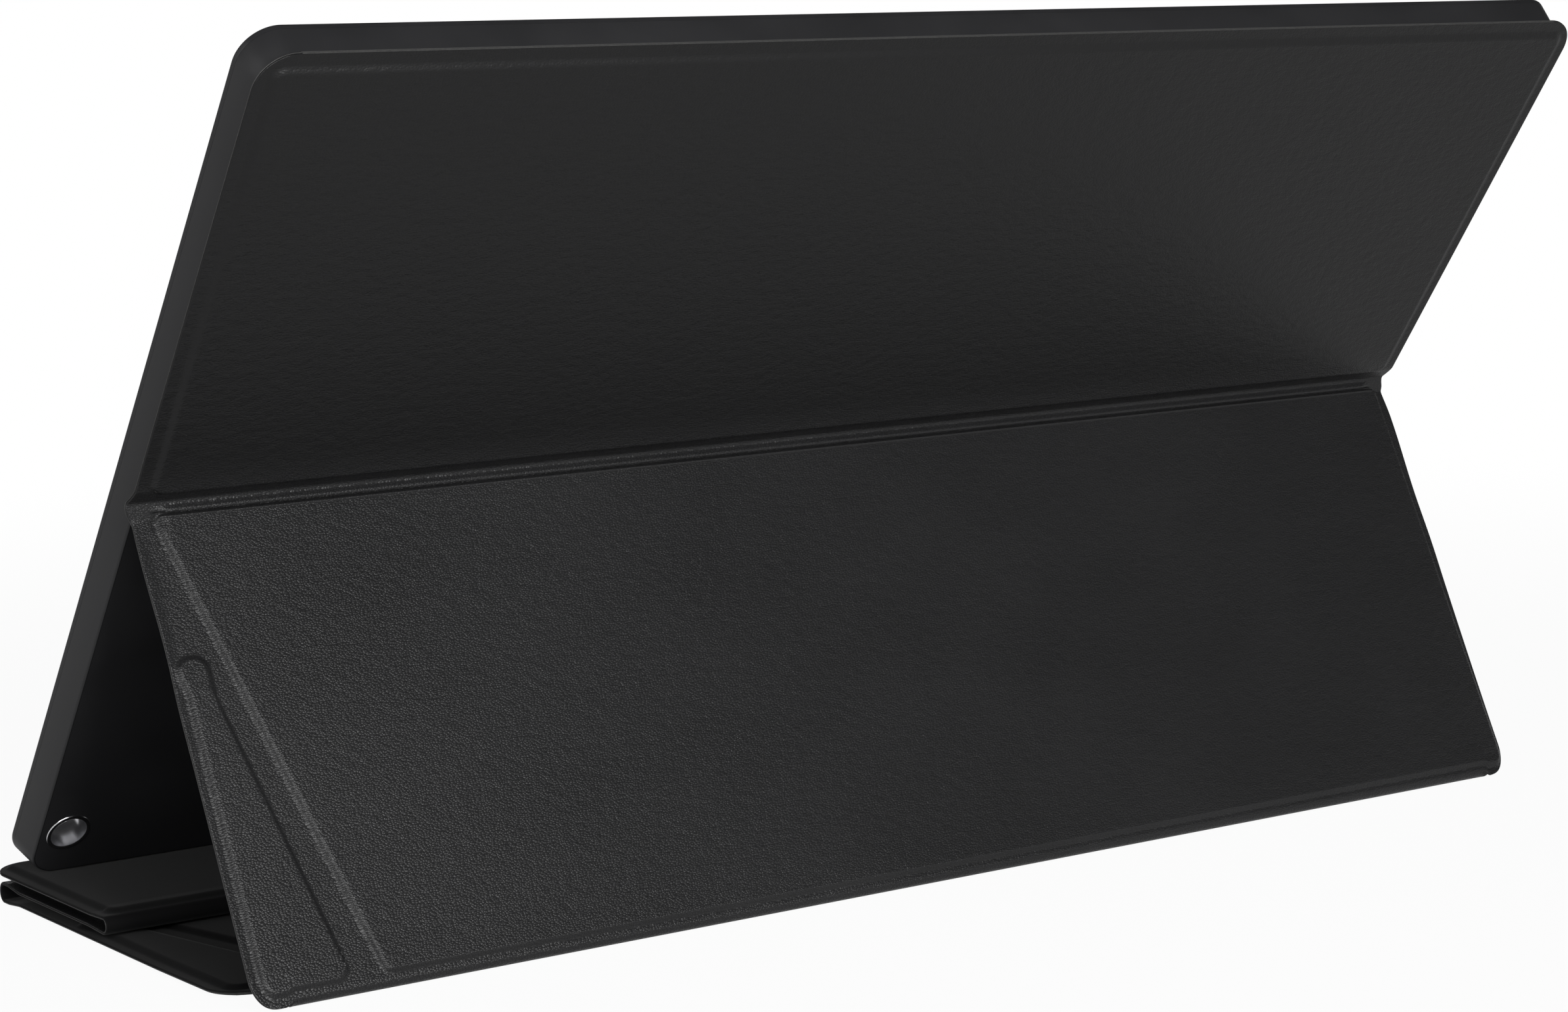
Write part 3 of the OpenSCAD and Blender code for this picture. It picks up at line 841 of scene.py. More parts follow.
class Cover:
    """The folding cover: a leather and a lining for each panel and each soft fold.

    The sheets of neighbouring panels meet at the reaches below, in millimetres from the
    fold's axis.  The sheets that bend stay where they are made, joined to no body.
    """

    UPPER_REACH = 6.5
    FOOT_REACH = 7.0
    FRONT_REACH = 9.0
    REAR_REACH = 8.0
    CREASE_SPAN = (4.0, 3.6)
    FOOT_SPAN = (4.0, 6.0)
    FRONT_SPAN = (1.9, 3.3)
    REAR_SPAN = (4.6, 5.9)

    def __init__(self, sizes: CoverSizes) -> None:
        """Lays out the section and where each panel lies along it.

        Args:
            sizes: The cover's sizes.
        """
        self.z = sizes
        self.crease = AXES.axis_yz("main_crease_fold")
        self.foot = AXES.axis_yz("foot_crease_fold")
        self.front = AXES.axis_yz("front_crease_fold")
        self.rear = AXES.axis_yz("rear_crease_fold")
        self.table_length = self.foot[0] - self.front[0]
        self.path = self._section()
        self.start = self._panel_starts()
        self.leather = Leather().build()
        self.nap = Microfibre().build()
        self.edge = CutEdge("cover_cut_edge", (0.045, 0.045, 0.044)).build()

    def _section(self) -> SectionPath:
        """Corners of the section, from the top of the upper panel to the free edge.

        Returns:
            The sampled path.
        """
        z = self.z
        a = AXES
        front, rear, foot = self.front, self.rear, self.foot
        low = z.thickness / 2
        second = low + z.layer_pitch
        top = second + z.layer_pitch
        crease_height = a.crease_height
        corners = [
            a.on_monitor(a.cover_depth, crease_height + z.upper_length),
            a.on_monitor(a.cover_depth, crease_height + 7.0),
            a.on_monitor(a.cover_depth - 1.15, crease_height + 3.2),
            a.on_leg(0.9),
            a.on_leg(6.0),
            foot + np.array([0.45, -0.65]),
            np.array([foot[0] - 6.0, 0.6]),
            np.array([foot[0] - 11.0, low + 0.35]),
            np.array([foot[0] - 42.0, low]),
            np.array([front[0] + 8.0, low]),
            np.array([front[0] + 2.5, 0.62]),
            np.array([front[0] - 2.0, 0.58]),
            np.array([front[0] - 2.0, 4.7]),
            np.array([front[0] + 2.5, 4.6]),
            np.array([front[0] + 8.0, second]),
            np.array([rear[0] - 7.0, second]),
            np.array([rear[0] + 1.9, 3.45]),
            np.array([rear[0] + 1.9, 6.95]),
            np.array([rear[0] - 6.0, top]),
            np.array([rear[0] - z.top_length, top]),
        ]
        radii = [4.0, 1.5, 1.5, 4.0, 1.4, 9.0, 12.0, 60.0, 12.0, 8.0, 1.9, 1.9, 8.0, 12.0, 12.0, 1.65, 1.65, 12.0]
        return SectionPath.through(corners, radii)

    def _panel_starts(self) -> dict[Layer, float]:
        """Path length at which each panel's own distance from its fold is 0.

        Returns:
            One length for each panel.
        """
        z = self.z
        halves = {
            Layer.UPPER: (AXES.on_monitor(AXES.cover_depth, AXES.crease_height + z.upper_length / 2),
                          -z.upper_length / 2),
            Layer.LEG: (AXES.on_leg(z.leg_length / 2), z.leg_length / 2),
            Layer.TABLE: (np.array([self.foot[0] - self.table_length / 2, z.thickness / 2]), self.table_length / 2),
            Layer.SECOND: (np.array([self.front[0] + z.second_length / 2, z.thickness / 2 + z.layer_pitch]),
                           z.second_length / 2),
            Layer.TOP: (np.array([self.rear[0] - z.top_length / 2, z.thickness / 2 + 2 * z.layer_pitch]),
                        z.top_length / 2),
        }
        return {layer: self.path.nearest(point) - distance for layer, (point, distance) in halves.items()}

    def boards(self) -> list[Board]:
        """The stiff boards, in x and distance down from each panel's fold.

        Returns:
            One record for each board.
        """
        z = self.z
        edge = z.width / 2 - z.border

        def main_board(layer: Layer, foot: float, head: float, before: float, after: float) -> Board:
            """A board over most of the panel, cut slantwise beside the corner board."""
            r = z.board_corner
            inner = math.copysign(r, head - foot)
            at_foot = edge - r - z.corner_board_width - z.diagonal
            at_head = min(at_foot + z.diagonal_slope * abs(head - foot), edge - r)
            outline = np.array([[r - edge, foot + inner], [r - edge, head - inner], [at_head, head - inner],
                                [at_foot, foot + inner]])
            return Board(layer, outline, before, after, z.shoulder, z.shoulder, r)

        def corner_board(layer: Layer, foot: float, towards: float, before: float, after: float) -> Board:
            """The tapered board in the +x corner, from its foot towards its tip."""
            r = z.corner_board_corner
            tip = foot + towards * (z.corner_board_length - r)
            inner = foot + towards * r
            narrow = edge + r - z.corner_board_tip
            wide = edge + r - z.corner_board_width
            outline = np.array([[edge - r, inner], [edge - r, tip], [narrow, tip], [wide, inner]])
            return Board(layer, outline, before, after, z.shoulder, z.steep_shoulder, r)

        def plain(layer: Layer, first: float, last: float, before: float, after: float,
                  border: float = z.border, shoulder: float = z.shoulder) -> Board:
            """A board over the whole panel, with a border round it."""
            r = z.board_corner
            side = z.width / 2 - border - r
            outline = np.array([[-side, first + r], [side, first + r], [side, last - r], [-side, last - r]])
            return Board(layer, outline, before, after, shoulder, shoulder, r)

        leg_foot = z.leg_length - z.bare_at_fold
        table_rear = z.spine + z.border
        table_front = self.table_length - z.bare_at_fold
        flat, slope, crest = z.shoulder, z.fold_slope, z.crease_shoulder
        upper_top = -z.upper_length + z.upper_border
        return [
            plain(Layer.UPPER, upper_top, -z.bare_above_crease, z.upper_shoulder, z.steep_shoulder, z.upper_border,
                  z.upper_shoulder),
            main_board(Layer.LEG, leg_foot, z.bare_below_crease, crest, flat),
            corner_board(Layer.LEG, leg_foot, -1.0, flat, flat),
            main_board(Layer.TABLE, table_rear, table_front, flat, slope),
            corner_board(Layer.TABLE, table_rear, 1.0, flat, flat),
            plain(Layer.SECOND, z.bare_at_fold, z.second_length - z.bare_at_fold, slope, slope),
            plain(Layer.TOP, z.bare_at_fold, z.top_length - z.border, slope, flat),
        ]

    def half_width(self, s: Array) -> Array:
        """Half the cover's width along the path, rounded at its free corners.

        A rounded corner takes radius less the root of radius squared less the square
        of what is left to its start.

        Args:
            s: Lengths along the path.

        Returns:
            Half widths.
        """
        z = self.z
        full = z.width / 2
        r = z.corner

        def rounded(to_edge: Array, half: float, radius: float = z.corner) -> Array:
            """Half width beside a free corner, so far from its edge."""
            left = np.clip(radius - to_edge, 0.0, radius)
            return half - (radius - np.sqrt(radius * radius - left * left))

        half = np.full_like(s, full)
        leg = s - self.start[Layer.LEG]
        table = s - self.start[Layer.TABLE]
        on_leg = leg > 0.0
        eased = full - z.leg_narrower * smoothstep((leg + 1.0) / 3.0)
        half = np.where(on_leg | (leg > -1.0), eased, half)
        foot_edge = z.leg_length - z.foot_turn - leg
        at_foot = rounded(foot_edge, full - z.leg_narrower, z.foot_corner)
        half = np.where((foot_edge < z.foot_corner) & (foot_edge >= 0), np.minimum(half, at_foot), half)
        on_spine = (foot_edge < 0) & (table < z.spine)
        half = np.where(on_spine, full - z.spine_inset, half)
        from_rear = table - z.spine
        half = np.where(from_rear >= 0, rounded(from_rear, full), half)
        to_free = self.path.length[-1] - s
        half = np.where(to_free < r, rounded(to_free, full), half)
        half = np.where(s < r, rounded(s, full), half)
        wave = 0.22 * np.sin(leg * 0.16) * smoothstep(leg / 6.0) * smoothstep((60.0 - leg) / 30.0)
        return half + wave - self.narrowing(s) / 2

    def narrowing(self, s: Array) -> Array:
        """How much the leg's right edge has drawn in, by a smoothstep down its length.

        Args:
            s: Lengths along the path.

        Returns:
            Widths taken off the right edge.
        """
        leg = s - self.start[Layer.LEG]
        foot_edge = self.z.leg_length - self.z.foot_turn
        return np.where(leg <= foot_edge, self.z.leg_taper * smoothstep(leg / foot_edge), 0.0)

    def sideways(self, s: Array) -> Array:
        """Shift along x: into the main crease, and with the leg as it narrows."""
        tuck = 0.75 * np.exp(-((s - self.start[Layer.LEG] + 2.2) / 2.4) ** 2)
        return tuck + self.narrowing(s) / 2

    def relief(self, side: Side, x: Array, s: Array) -> Array:
        """How far the surface is raised over the boards.

        It falls by a smoothstep of the distance outside a board over the shoulder's
        width.  Towards a hairpin the shoulder widens into a long slope, and at the top
        of the leg it is steep.

        Args:
            side: Leather or lining, whose shoulders differ in width.
            x: Places across.
            s: Lengths along the path.

        Returns:
            Shares from 0 on the bare sheet to 1 on a board.
        """
        widen = 1.0 if side is Side.LEATHER else self.z.lining_softer
        raised = np.zeros(np.broadcast(x, s).shape)
        for board in self.boards():
            outline = board.outline
            d = s - self.start[board.layer]
            away = outside_distance(x, d, outline)
            past = np.maximum(outline[:, 1].min() - d, d - outline[:, 1].max())
            end = np.where(d < outline[:, 1].mean(), board.before, board.after)
            inner = board.inner_side if side is Side.LEATHER else board.side
            across = np.where(x > outline[:, 0].mean(), board.side, inner)
            share = np.clip(past / np.maximum(away, 0.01), 0.0, 1.0)
            width = widen * (across + (end - across) * share)
            raised = np.maximum(raised, smoothstep(1.0 - (away - board.corner) / width))
        return raised

    def crease_shape(self, x: Array, s: Array) -> Array:
        """Height of the leather beside the main crease, over and under the flat sheet.

        Just above the hinge line the leather rises by a smoothstep to a crest and drops
        sharply into a crevice at the top of the leg.  Both fade out near the cover's
        ends, the crevice in a small bell-shaped pit at the leg's left top corner.  Sums
        of sines pucker the slope.

        Args:
            x: Places across.
            s: Lengths along the path.

        Returns:
            Heights to add to the leather.
        """
        z = self.z
        along = s - self.start[Layer.LEG]
        inward = smoothstep((z.width / 2 - 4.0 - np.abs(x)) / 6.0)
        fine = (0.5 * np.sin(2.1 * x + 1.3 * s) + 0.3 * np.sin(3.7 * x - 0.9 * s + 1.0)
                + 0.35 * np.sin(1.23 * x + 2.1) * np.sin(0.37 * x + 0.4) + 0.2 * np.sin(6.1 * x + 2.2 * s))
        crest = 0.85 * smoothstep((along + 2.3) / 1.2) * (1.0 - smoothstep((along + 0.8) / 0.4))
        crevice = -0.6 * smoothstep((along + 0.8) / 0.4) * (1.0 - smoothstep((along + 0.3) / 0.4))
        corner = z.width / 2 - 6.6
        pit = -0.5 * np.exp(-((x - corner) / 1.2) ** 2 - ((along - 1.4) / 2.0) ** 2)
        puckers = 0.05 * fine * np.exp(-((along + 1.9) / 0.9) ** 2)
        return inward * (crest + crevice) + puckers + pit

    def columns(self) -> Array:
        """Places across the cover: close at both edges and over the corner boards.

        Returns:
            Places in rising order.
        """
        half = self.z.width / 2
        edge = np.array([0.0, 0.08, 0.2, 0.38, 0.6])
        fine = half - np.concatenate([edge, np.arange(1.0, 36.0, 0.4)])
        other = -half + np.concatenate([edge, np.arange(1.0, 9.0, 0.4)])
        middle = np.linspace(other[-1] + 3.0, fine[-1] - 3.0, 70)
        return np.sort(np.concatenate([fine, other, middle]))

    def rows(self, first: float, last: float, spacing: float) -> Array:
        """Places along the path between two lengths, closer at shoulders and round corners.

        Args:
            first: Length where the rows start.
            last: Length where they end.
            spacing: Widest spacing of the rows.

        Returns:
            Lengths in rising order, at least 0.012 mm apart.
        """
        z = self.z
        marks = [first, last]
        for board in self.boards():
            for d in (board.outline[:, 1].min(), board.outline[:, 1].max()):
                reach = board.corner + z.upper_shoulder + 0.1
                marks.extend(self.start[board.layer] + d + np.linspace(-reach, reach, 22))
        marks.extend(self.start[Layer.LEG] + np.arange(-3.5, 1.2, 0.1))
        quarter = z.corner * (1.0 - np.cos(np.linspace(0.0, math.pi / 2, 14)))
        foot_edge = self.start[Layer.LEG] + z.leg_length - z.foot_turn
        rear_edge = self.start[Layer.TABLE] + z.spine
        marks.extend(quarter)
        marks.extend(foot_edge - quarter * z.foot_corner / z.corner)
        marks.extend(foot_edge + np.array([0.02]))
        marks.extend(rear_edge + quarter)
        marks.extend(rear_edge - np.array([0.02]))
        marks.extend(self.path.length[-1] - quarter)
        marks.extend(np.arange(first, last, spacing))
        folds = [self.start[Layer.LEG], foot_edge + 1.0, self.start[Layer.SECOND], self.start[Layer.TOP]]
        for fold_at in folds:
            marks.extend(fold_at + np.arange(-9.0, 9.0, 0.3))
        marks = np.array(sorted(m for m in marks if first <= m <= last))
        keep = [marks[0]]
        for mark in marks[1:]:
            if mark - keep[-1] > 0.012:
                keep.append(mark)
        keep[-1] = last
        return np.array(keep)

    def straighten_corners(self, x: Array, s: Array) -> tuple[Array, Array]:
        """Places and normals of the sheet's middle, with the leg's foot corners let down.

        Beside the narrower strip under the foot the leg's corners are free, so they go on
        straight down instead of turning under: the section's place is blended with the
        leg's own line by smoothsteps across and along.  The leg's side edges curl
        outwards by a smoothstep of the distance to the edge.

        Args:
            x: Places across, rows by columns.
            s: Lengths along the path, one for each row.

        Returns:
            Places and normals, each rows by columns by 2.
        """
        z = self.z
        place, normal = self.path.at(s)
        d = s - self.start[Layer.LEG]
        foot_edge = z.leg_length - z.foot_turn
        from_side = z.width / 2 - np.abs(x)
        along = smoothstep((d - foot_edge + 6.0) / 2.0) * (1.0 - smoothstep((d - foot_edge) / 2.5))
        free = smoothstep((z.spine_inset + 1.2 - from_side) / 2.4) * along[:, None]
        reach = np.minimum(d, foot_edge) + z.corner_drop * smoothstep((d - foot_edge + z.foot_corner) / z.foot_corner)
        straight = self.crease + AXES.leg_down * reach[:, None]
        facing = np.array([-AXES.leg_down[1], AXES.leg_down[0]])
        free = free[..., None]
        places = (1.0 - free) * place[:, None, :] + free * straight[:, None, :]
        normals = (1.0 - free) * normal[:, None, :] + free * facing
        normals /= np.linalg.norm(normals, axis=-1)[..., None]
        on_leg = smoothstep((d - 1.0) / 8.0) * (1.0 - smoothstep((d - foot_edge) / 1.5))
        curl = z.edge_curl * smoothstep(1.0 - from_side / z.border) * on_leg[:, None]
        return places + normals * curl[..., None], normals

    def skin(self, name: str, side: Side, first: float, last: float, spacing: float = 1.6) -> bpy.types.Object:
        """One closed sheet of leather or lining between two places along the path.

        A point of the face lies on the section's place plus its normal times the sheet's
        thickness, raised over the boards; near the cut edge the face rolls down as a
        quarter circle.  The back of the sheet is the laminate's middle.

        Args:
            name: Name of the piece.
            side: Leather or lining.
            first: Path length where the sheet starts.
            last: Path length where it ends.
            spacing: Widest spacing of the rows.

        Returns:
            The sheet's object, with leather or lining in material 0 and its cut edge in 1.
        """
        z = self.z
        s = self.rows(first, last, spacing)
        across = self.columns() / (z.width / 2)
        x = across[None, :] * self.half_width(s)[:, None] + self.sideways(s)[:, None]
        grid_s = np.broadcast_to(s[:, None], x.shape)
        place, normal = self.straighten_corners(x, s)
        sheet = z.leather if side is Side.LEATHER else z.lining
        raised = (z.thickness / 2 - sheet) * self.relief(side, x, grid_s)
        to_side = self.half_width(s)[:, None] - np.abs(x - self.sideways(s)[:, None])
        roll = 0.22
        left = np.clip(1.0 - to_side / roll, 0.0, 1.0)
        face = sheet * (0.45 + 0.55 * np.sqrt(1.0 - left ** 2)) + raised
        if side is Side.LEATHER:
            face = np.maximum(face + self.crease_shape(x, grid_s), 0.06)
        # over a board the sheet lies on the board, and elsewhere just off the middle
        middle_gap = 0.02
        back = middle_gap + np.clip(raised - middle_gap, 0.0, None)

        def points(across_x: Array, offset: Array) -> Array:
            """A face of the sheet, so far off the section."""
            yz = place + normal * (side.value * offset)[..., None]
            return np.concatenate([across_x[..., None], yz], -1).reshape(-1, 3)

        rows, cols = x.shape
        total = rows * cols
        flip = side is Side.LINING
        outer = grid_faces(rows, cols, 0, flip=flip)
        inner = grid_faces(rows, cols, total, flip=not flip)
        rim = np.concatenate([
            np.arange(cols), (np.arange(1, rows) + 1) * cols - 1,
            (rows - 1) * cols + np.arange(cols - 2, -1, -1), np.arange(rows - 2, 0, -1) * cols,
        ])
        ahead = np.roll(rim, -1)
        walls = np.stack([ahead, rim, rim + total, ahead + total], -1)
        if flip:
            walls = walls[:, ::-1]
        faces = np.vstack([outer, inner, walls])
        notched = x - z.edge_notch * np.sign(across)[None, :] * (to_side < 1e-6)
        obj = make_object(name, np.vstack([points(x, face), points(notched, back)]), faces, sharp=50.0)
        uv = np.stack([x.ravel(), grid_s.ravel()], -1)
        add_uv(obj, np.vstack([uv, uv]))
        obj.data.materials.append(self.leather if side is Side.LEATHER else self.nap)
        obj.data.materials.append(self.edge)
        slots = np.zeros(len(faces), np.int32)
        slots[len(outer) + len(inner):] = 1
        obj.data.polygons.foreach_set("material_index", slots)
        LOG.info("%s: %d by %d points", name, rows, cols)
        return obj

    def build(self) -> None:
        """Makes the ten panel sheets and the four sheets of the two hairpins."""
        z = self.z
        path = self.path
        upper_end = path.nearest(AXES.on_monitor(AXES.cover_depth, AXES.crease_height + self.UPPER_REACH))
        leg_end = self.start[Layer.LEG] + z.leg_length - self.FOOT_REACH
        low = z.thickness / 2
        table_end = path.nearest(np.array([self.front[0] + self.FRONT_REACH, low]))
        second_start = path.nearest(np.array([self.front[0] + self.FRONT_REACH, low + z.layer_pitch]))
        second_end = path.nearest(np.array([self.rear[0] - self.REAR_REACH, low + z.layer_pitch]))
        top_start = path.nearest(np.array([self.rear[0] - self.REAR_REACH, low + 2 * z.layer_pitch]))
        free = float(path.length[-1])
        leather, lining = Side.LEATHER, Side.LINING
        for side, ending, slot in ((leather, "skin", "leather"), (lining, "lining", "lining")):
            upper = self.skin(f"upper_{slot}_sheet", side, 0.0, upper_end)
            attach(upper, "monitor")
            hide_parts(f"upper_{ending}")
            leg = self.skin(f"leg_{slot}_sheet", side, upper_end, leg_end, 1.0)
            above = AXES.on_monitor(AXES.cover_depth, AXES.crease_height + self.CREASE_SPAN[0])
            self._point(AXES.on_leg(self.CREASE_SPAN[1]))
            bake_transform(leg)
            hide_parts(f"leg_{ending}", *(["main_crease"] if side is leather else []))
            table = self.skin(f"table_{slot}_sheet", side, leg_end, table_end, 1.4)
            self._point(AXES.on_leg(z.leg_length - self.FOOT_SPAN[0]))
            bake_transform(table)
            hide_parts(f"floor_{ending}", *(["foot_fold"] if side is leather else []))
            front = self.skin(f"front_fold_{slot}", side, table_end, second_start, 0.4)
            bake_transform(front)
            second = self.skin(f"second_{slot}_sheet", side, second_start, second_end, 3.0)
            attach(second, "second_layer")
            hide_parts(f"second_{ending}")
            rear = self.skin(f"rear_fold_{slot}", side, second_end, top_start, 0.4)
            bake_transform(rear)
            if side is leather:
                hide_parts("front_fold")
                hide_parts("rear_fold")
            top = self.skin(f"top_{slot}_sheet", side, top_start, free, 3.0)
            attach(top, "top_layer")
            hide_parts(f"top_{ending}")

    @staticmethod
    def _point(yz: Array) -> tuple[float, float, float]:
        """A Y-Z place as a point in metres on the middle plane."""
        return (0.0, float(yz[0]) * MM, float(yz[1]) * MM)


# ---------------------------------------------------------------------------
# The monitor
# ---------------------------------------------------------------------------
@dataclass(frozen=True)
class HousingSizes:
    """Sizes of the monitor's two mouldings and what shows in them."""

    width: float = 359.7
    height: float = 226.4
    depth: float = 8.0
    taper: float = 2.0
    corner: float = 8.5
    wall: float = 1.2
    parting: float = 1.2
    edge: float = 0.45
    view_width: float = 344.2
    view_low: float = 24.8
    view_height: float = 193.6
    pen_side: float = 9.1
    pen_up: float = 14.3
    pen_radius: float = 4.2
    liner: float = 0.45
    button_height: float = 8.6
    button_from_side: float = 24.0
    button_pitch: float = 16.0
    button_length: float = 9.0
    button_width: float = 3.2
    button_proud: float = 0.4
    usb_depth: float = 4.97
    usb_width: float = 8.94
    usb_thick: float = 3.2


class Monitor:
    """The monitor: rear moulding, bezel, hole liner, buttons and screen."""

    CORNER_STEPS = 24

    def __init__(self, sizes: HousingSizes) -> None:
        """Keeps the sizes and makes the finishes.

        Args:
            sizes: The monitor's sizes.
        """
        self.z = sizes
        self.shell = Moulding("housing_plastic", (0.015, 0.015, 0.016), 0.46, texture=3000.0, strength=0.22,
                              specular=0.28)
        # painted shade: a near-black finish for the housing's flat back, which lies in deep shade inside the stand
        self.back = Moulding("housing_back_painted_shade", (0.0024, 0.0024, 0.0026), 0.65, texture=3000.0, strength=0.2,
                             specular=0.08)
        self.face = Moulding("bezel_plastic", (0.013, 0.013, 0.014), 0.4, texture=3000.0, strength=0.2, specular=0.3)
        self.chrome = Moulding("liner_chrome", (0.66, 0.66, 0.68), 0.24, 1.0, 500.0, 0.000004, 0.1, 0.03)
        self.key = Moulding("key_plastic", (0.016, 0.016, 0.017), 0.35)

    def ring(self, inset: float, depth: float) -> Array:
        """The housing's outline at a depth, as frame points.

        Args:
            inset: How far inside the outer wall.
            depth: Depth behind the screen face.

        Returns:
            K by 3 array.
        """
        z = self.z
        side = inset + z.taper * depth / z.depth
        outline = rounded_rectangle(z.width - 2 * side, z.height - 2 * side,
                                    max(0.3, z.corner - side), self.CORNER_STEPS)
        return AXES.monitor_points(outline[:, 0], depth, outline[:, 1] + side)

    @staticmethod
    def edge_profile(radius: float, inset: float, depth: float, start: float, end: float,
                     steps: int = 6) -> list[tuple[float, float]]:
        """Inset and depth pairs round a small edge: a circle about its centre.

        Args:
            radius: Edge radius.
            inset: Centre's inset.
            depth: Centre's depth.
            start: First angle in degrees, 0 pointing inwards and 90 towards the back.
            end: Last angle.
            steps: Segments.

        Returns:
            Pairs of inset and depth.
        """
        angle = np.radians(np.linspace(start, end, steps + 1))
        return list(zip(inset + radius * np.cos(angle), depth + radius * np.sin(angle)))

    def rear_moulding(self) -> bpy.types.Object:
        """Tray with leaning walls: rings from its inner floor, over the rim, to its back, whose flat faces get
        painted shade.

        Returns:
            The moulding.
        """
        z = self.z
        rim = z.parting + 0.02
        profile = [(z.wall, z.depth - z.wall), (z.wall, rim), (0.04, rim), (0.01, rim + 0.01), (0.0, rim + 0.05)]
        profile += self.edge_profile(z.edge, z.edge, z.depth - z.edge, 180.0, 90.0)
        rings = [self.ring(inset, depth) for inset, depth in profile]
        obj = self.loft("rear_moulding", rings)
        pen = self.cylinder_cutter(z.pen_radius + z.liner)
        mouth = self.usb_cutter()
        cut(obj, [pen, mouth])
        obj.data.materials.append(self.shell.build())
        obj.data.materials.append(self.back.build())
        normals = np.zeros(len(obj.data.polygons) * 3)
        obj.data.polygons.foreach_get("normal", normals)
        # painted shade: faces that look straight out of the back take the near-black finish
        shaded_back_faces = normals.reshape(-1, 3)[:, 1:] @ AXES.out > 0.95
        obj.data.polygons.foreach_set("material_index", shaded_back_faces.astype(np.int32))
        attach(obj, "monitor")
        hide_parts("rear_cover")
        return obj

    def loft(self, name: str, rings: Sequence[Array]) -> bpy.types.Object:
        """Joins rings of equal count and closes both ends with one flat face.

        Args:
            name: Name of the piece.
            rings: K by 3 arrays, the first facing the screen side.

        Returns:
            The closed object.
        """
        count = len(rings[0])
        faces = grid_faces(len(rings), count, wrap_cols=True).tolist()
        faces.append(list(range(count)))
        last = (len(rings) - 1) * count
        faces.append(list(range(last + count - 1, last - 1, -1)))
        obj = make_object(name, np.vstack(rings), faces, sharp=35.0)
        self.turn_outwards(obj)
        return obj

    @staticmethod
    def turn_outwards(obj: bpy.types.Object) -> None:
        """Flips a closed mesh whose signed volume is negative.

        The volume is a sixth of the sum over triangles of a dot b cross c.

        Args:
            obj: The closed mesh object.
        """
        mesh = obj.data
        mesh.calc_loop_triangles()
        corners = np.zeros(len(mesh.loop_triangles) * 3, np.int32)
        mesh.loop_triangles.foreach_get("vertices", corners)
        places = np.zeros(len(mesh.vertices) * 3)
        mesh.vertices.foreach_get("co", places)
        a, b, c = places.reshape(-1, 3)[corners.reshape(-1, 3)].transpose(1, 0, 2)
        if np.einsum("ij,ij->", a, np.cross(b, c)) < 0.0:
            mesh.flip_normals()

    def tube_round_pen_hole(self, name: str, profile: Sequence[tuple[float, float]],
                            steps: int = 64) -> bpy.types.Object:
        """A closed turning about the pen hole's axis.

        Args:
            name: Name of the piece.
            profile: Closed loop of radius and depth pairs.
            steps: Segments round.

        Returns:
            The turned object.
        """
        z = self.z
        angle = np.linspace(0.0, 2 * math.pi, steps, endpoint=False)
        radius = np.array([p[0] for p in profile])[:, None]
        depth = np.array([p[1] for p in profile])[:, None]
        centre_x = z.width / 2 - z.pen_side
        points = AXES.monitor_points(centre_x + radius * np.cos(angle), depth + 0.0 * angle,
                                     z.pen_up + radius * np.sin(angle))
        obj = make_object(name, points, torus_faces(len(profile), steps), sharp=50.0)
        self.turn_outwards(obj)
        return obj

    def cylinder_cutter(self, radius: float) -> bpy.types.Object:
        """A plug along the pen hole's axis, through the whole monitor.

        Args:
            radius: Radius of the plug.

        Returns:
            The plug.
        """
        z = self.z
        angle = np.linspace(0.0, 2 * math.pi, 64, endpoint=False)
        x = z.width / 2 - z.pen_side + radius * np.cos(angle)
        up = z.pen_up + radius * np.sin(angle)
        rings = [AXES.monitor_points(x, depth, up) for depth in (-3.0, z.depth + 3.0)]
        return self.loft("pen_cutter", rings)

    def stadium(self, x: float, up: float, length: float, width: float, steps: int = 16) -> tuple[Array, Array]:
        """Outline of a slot with round ends, as x and height.

        Args:
            x: Centre across.
            up: Centre height.
            length: Whole length along x.
            width: Whole width along the height.
            steps: Segments of each round end.

        Returns:
            Places across and heights.
        """
        angle = np.linspace(-math.pi / 2, math.pi / 2, steps + 1)
        straight = (length - width) / 2
        ends = np.concatenate([straight + width / 2 * np.cos(angle), -straight - width / 2 * np.cos(angle)])
        rise = np.concatenate([width / 2 * np.sin(angle), -width / 2 * np.sin(angle)])
        return x + ends, up + rise

    def usb_cutter(self) -> bpy.types.Object:
        """The socket's mouth through the side wall, as a bar along x.

        Returns:
            The bar.
        """
        z = self.z
        play = 0.25
        depth, up = self.stadium(0.0, 0.0, z.usb_width + 2 * play, z.usb_thick + 2 * play)
        rings = [AXES.monitor_points(np.full_like(up, x), z.usb_depth + up, z.button_height + depth)
                 for x in (-z.width / 2 - 3.0, -z.width / 2 + 6.5)]
        return self.loft("usb_cutter", rings)

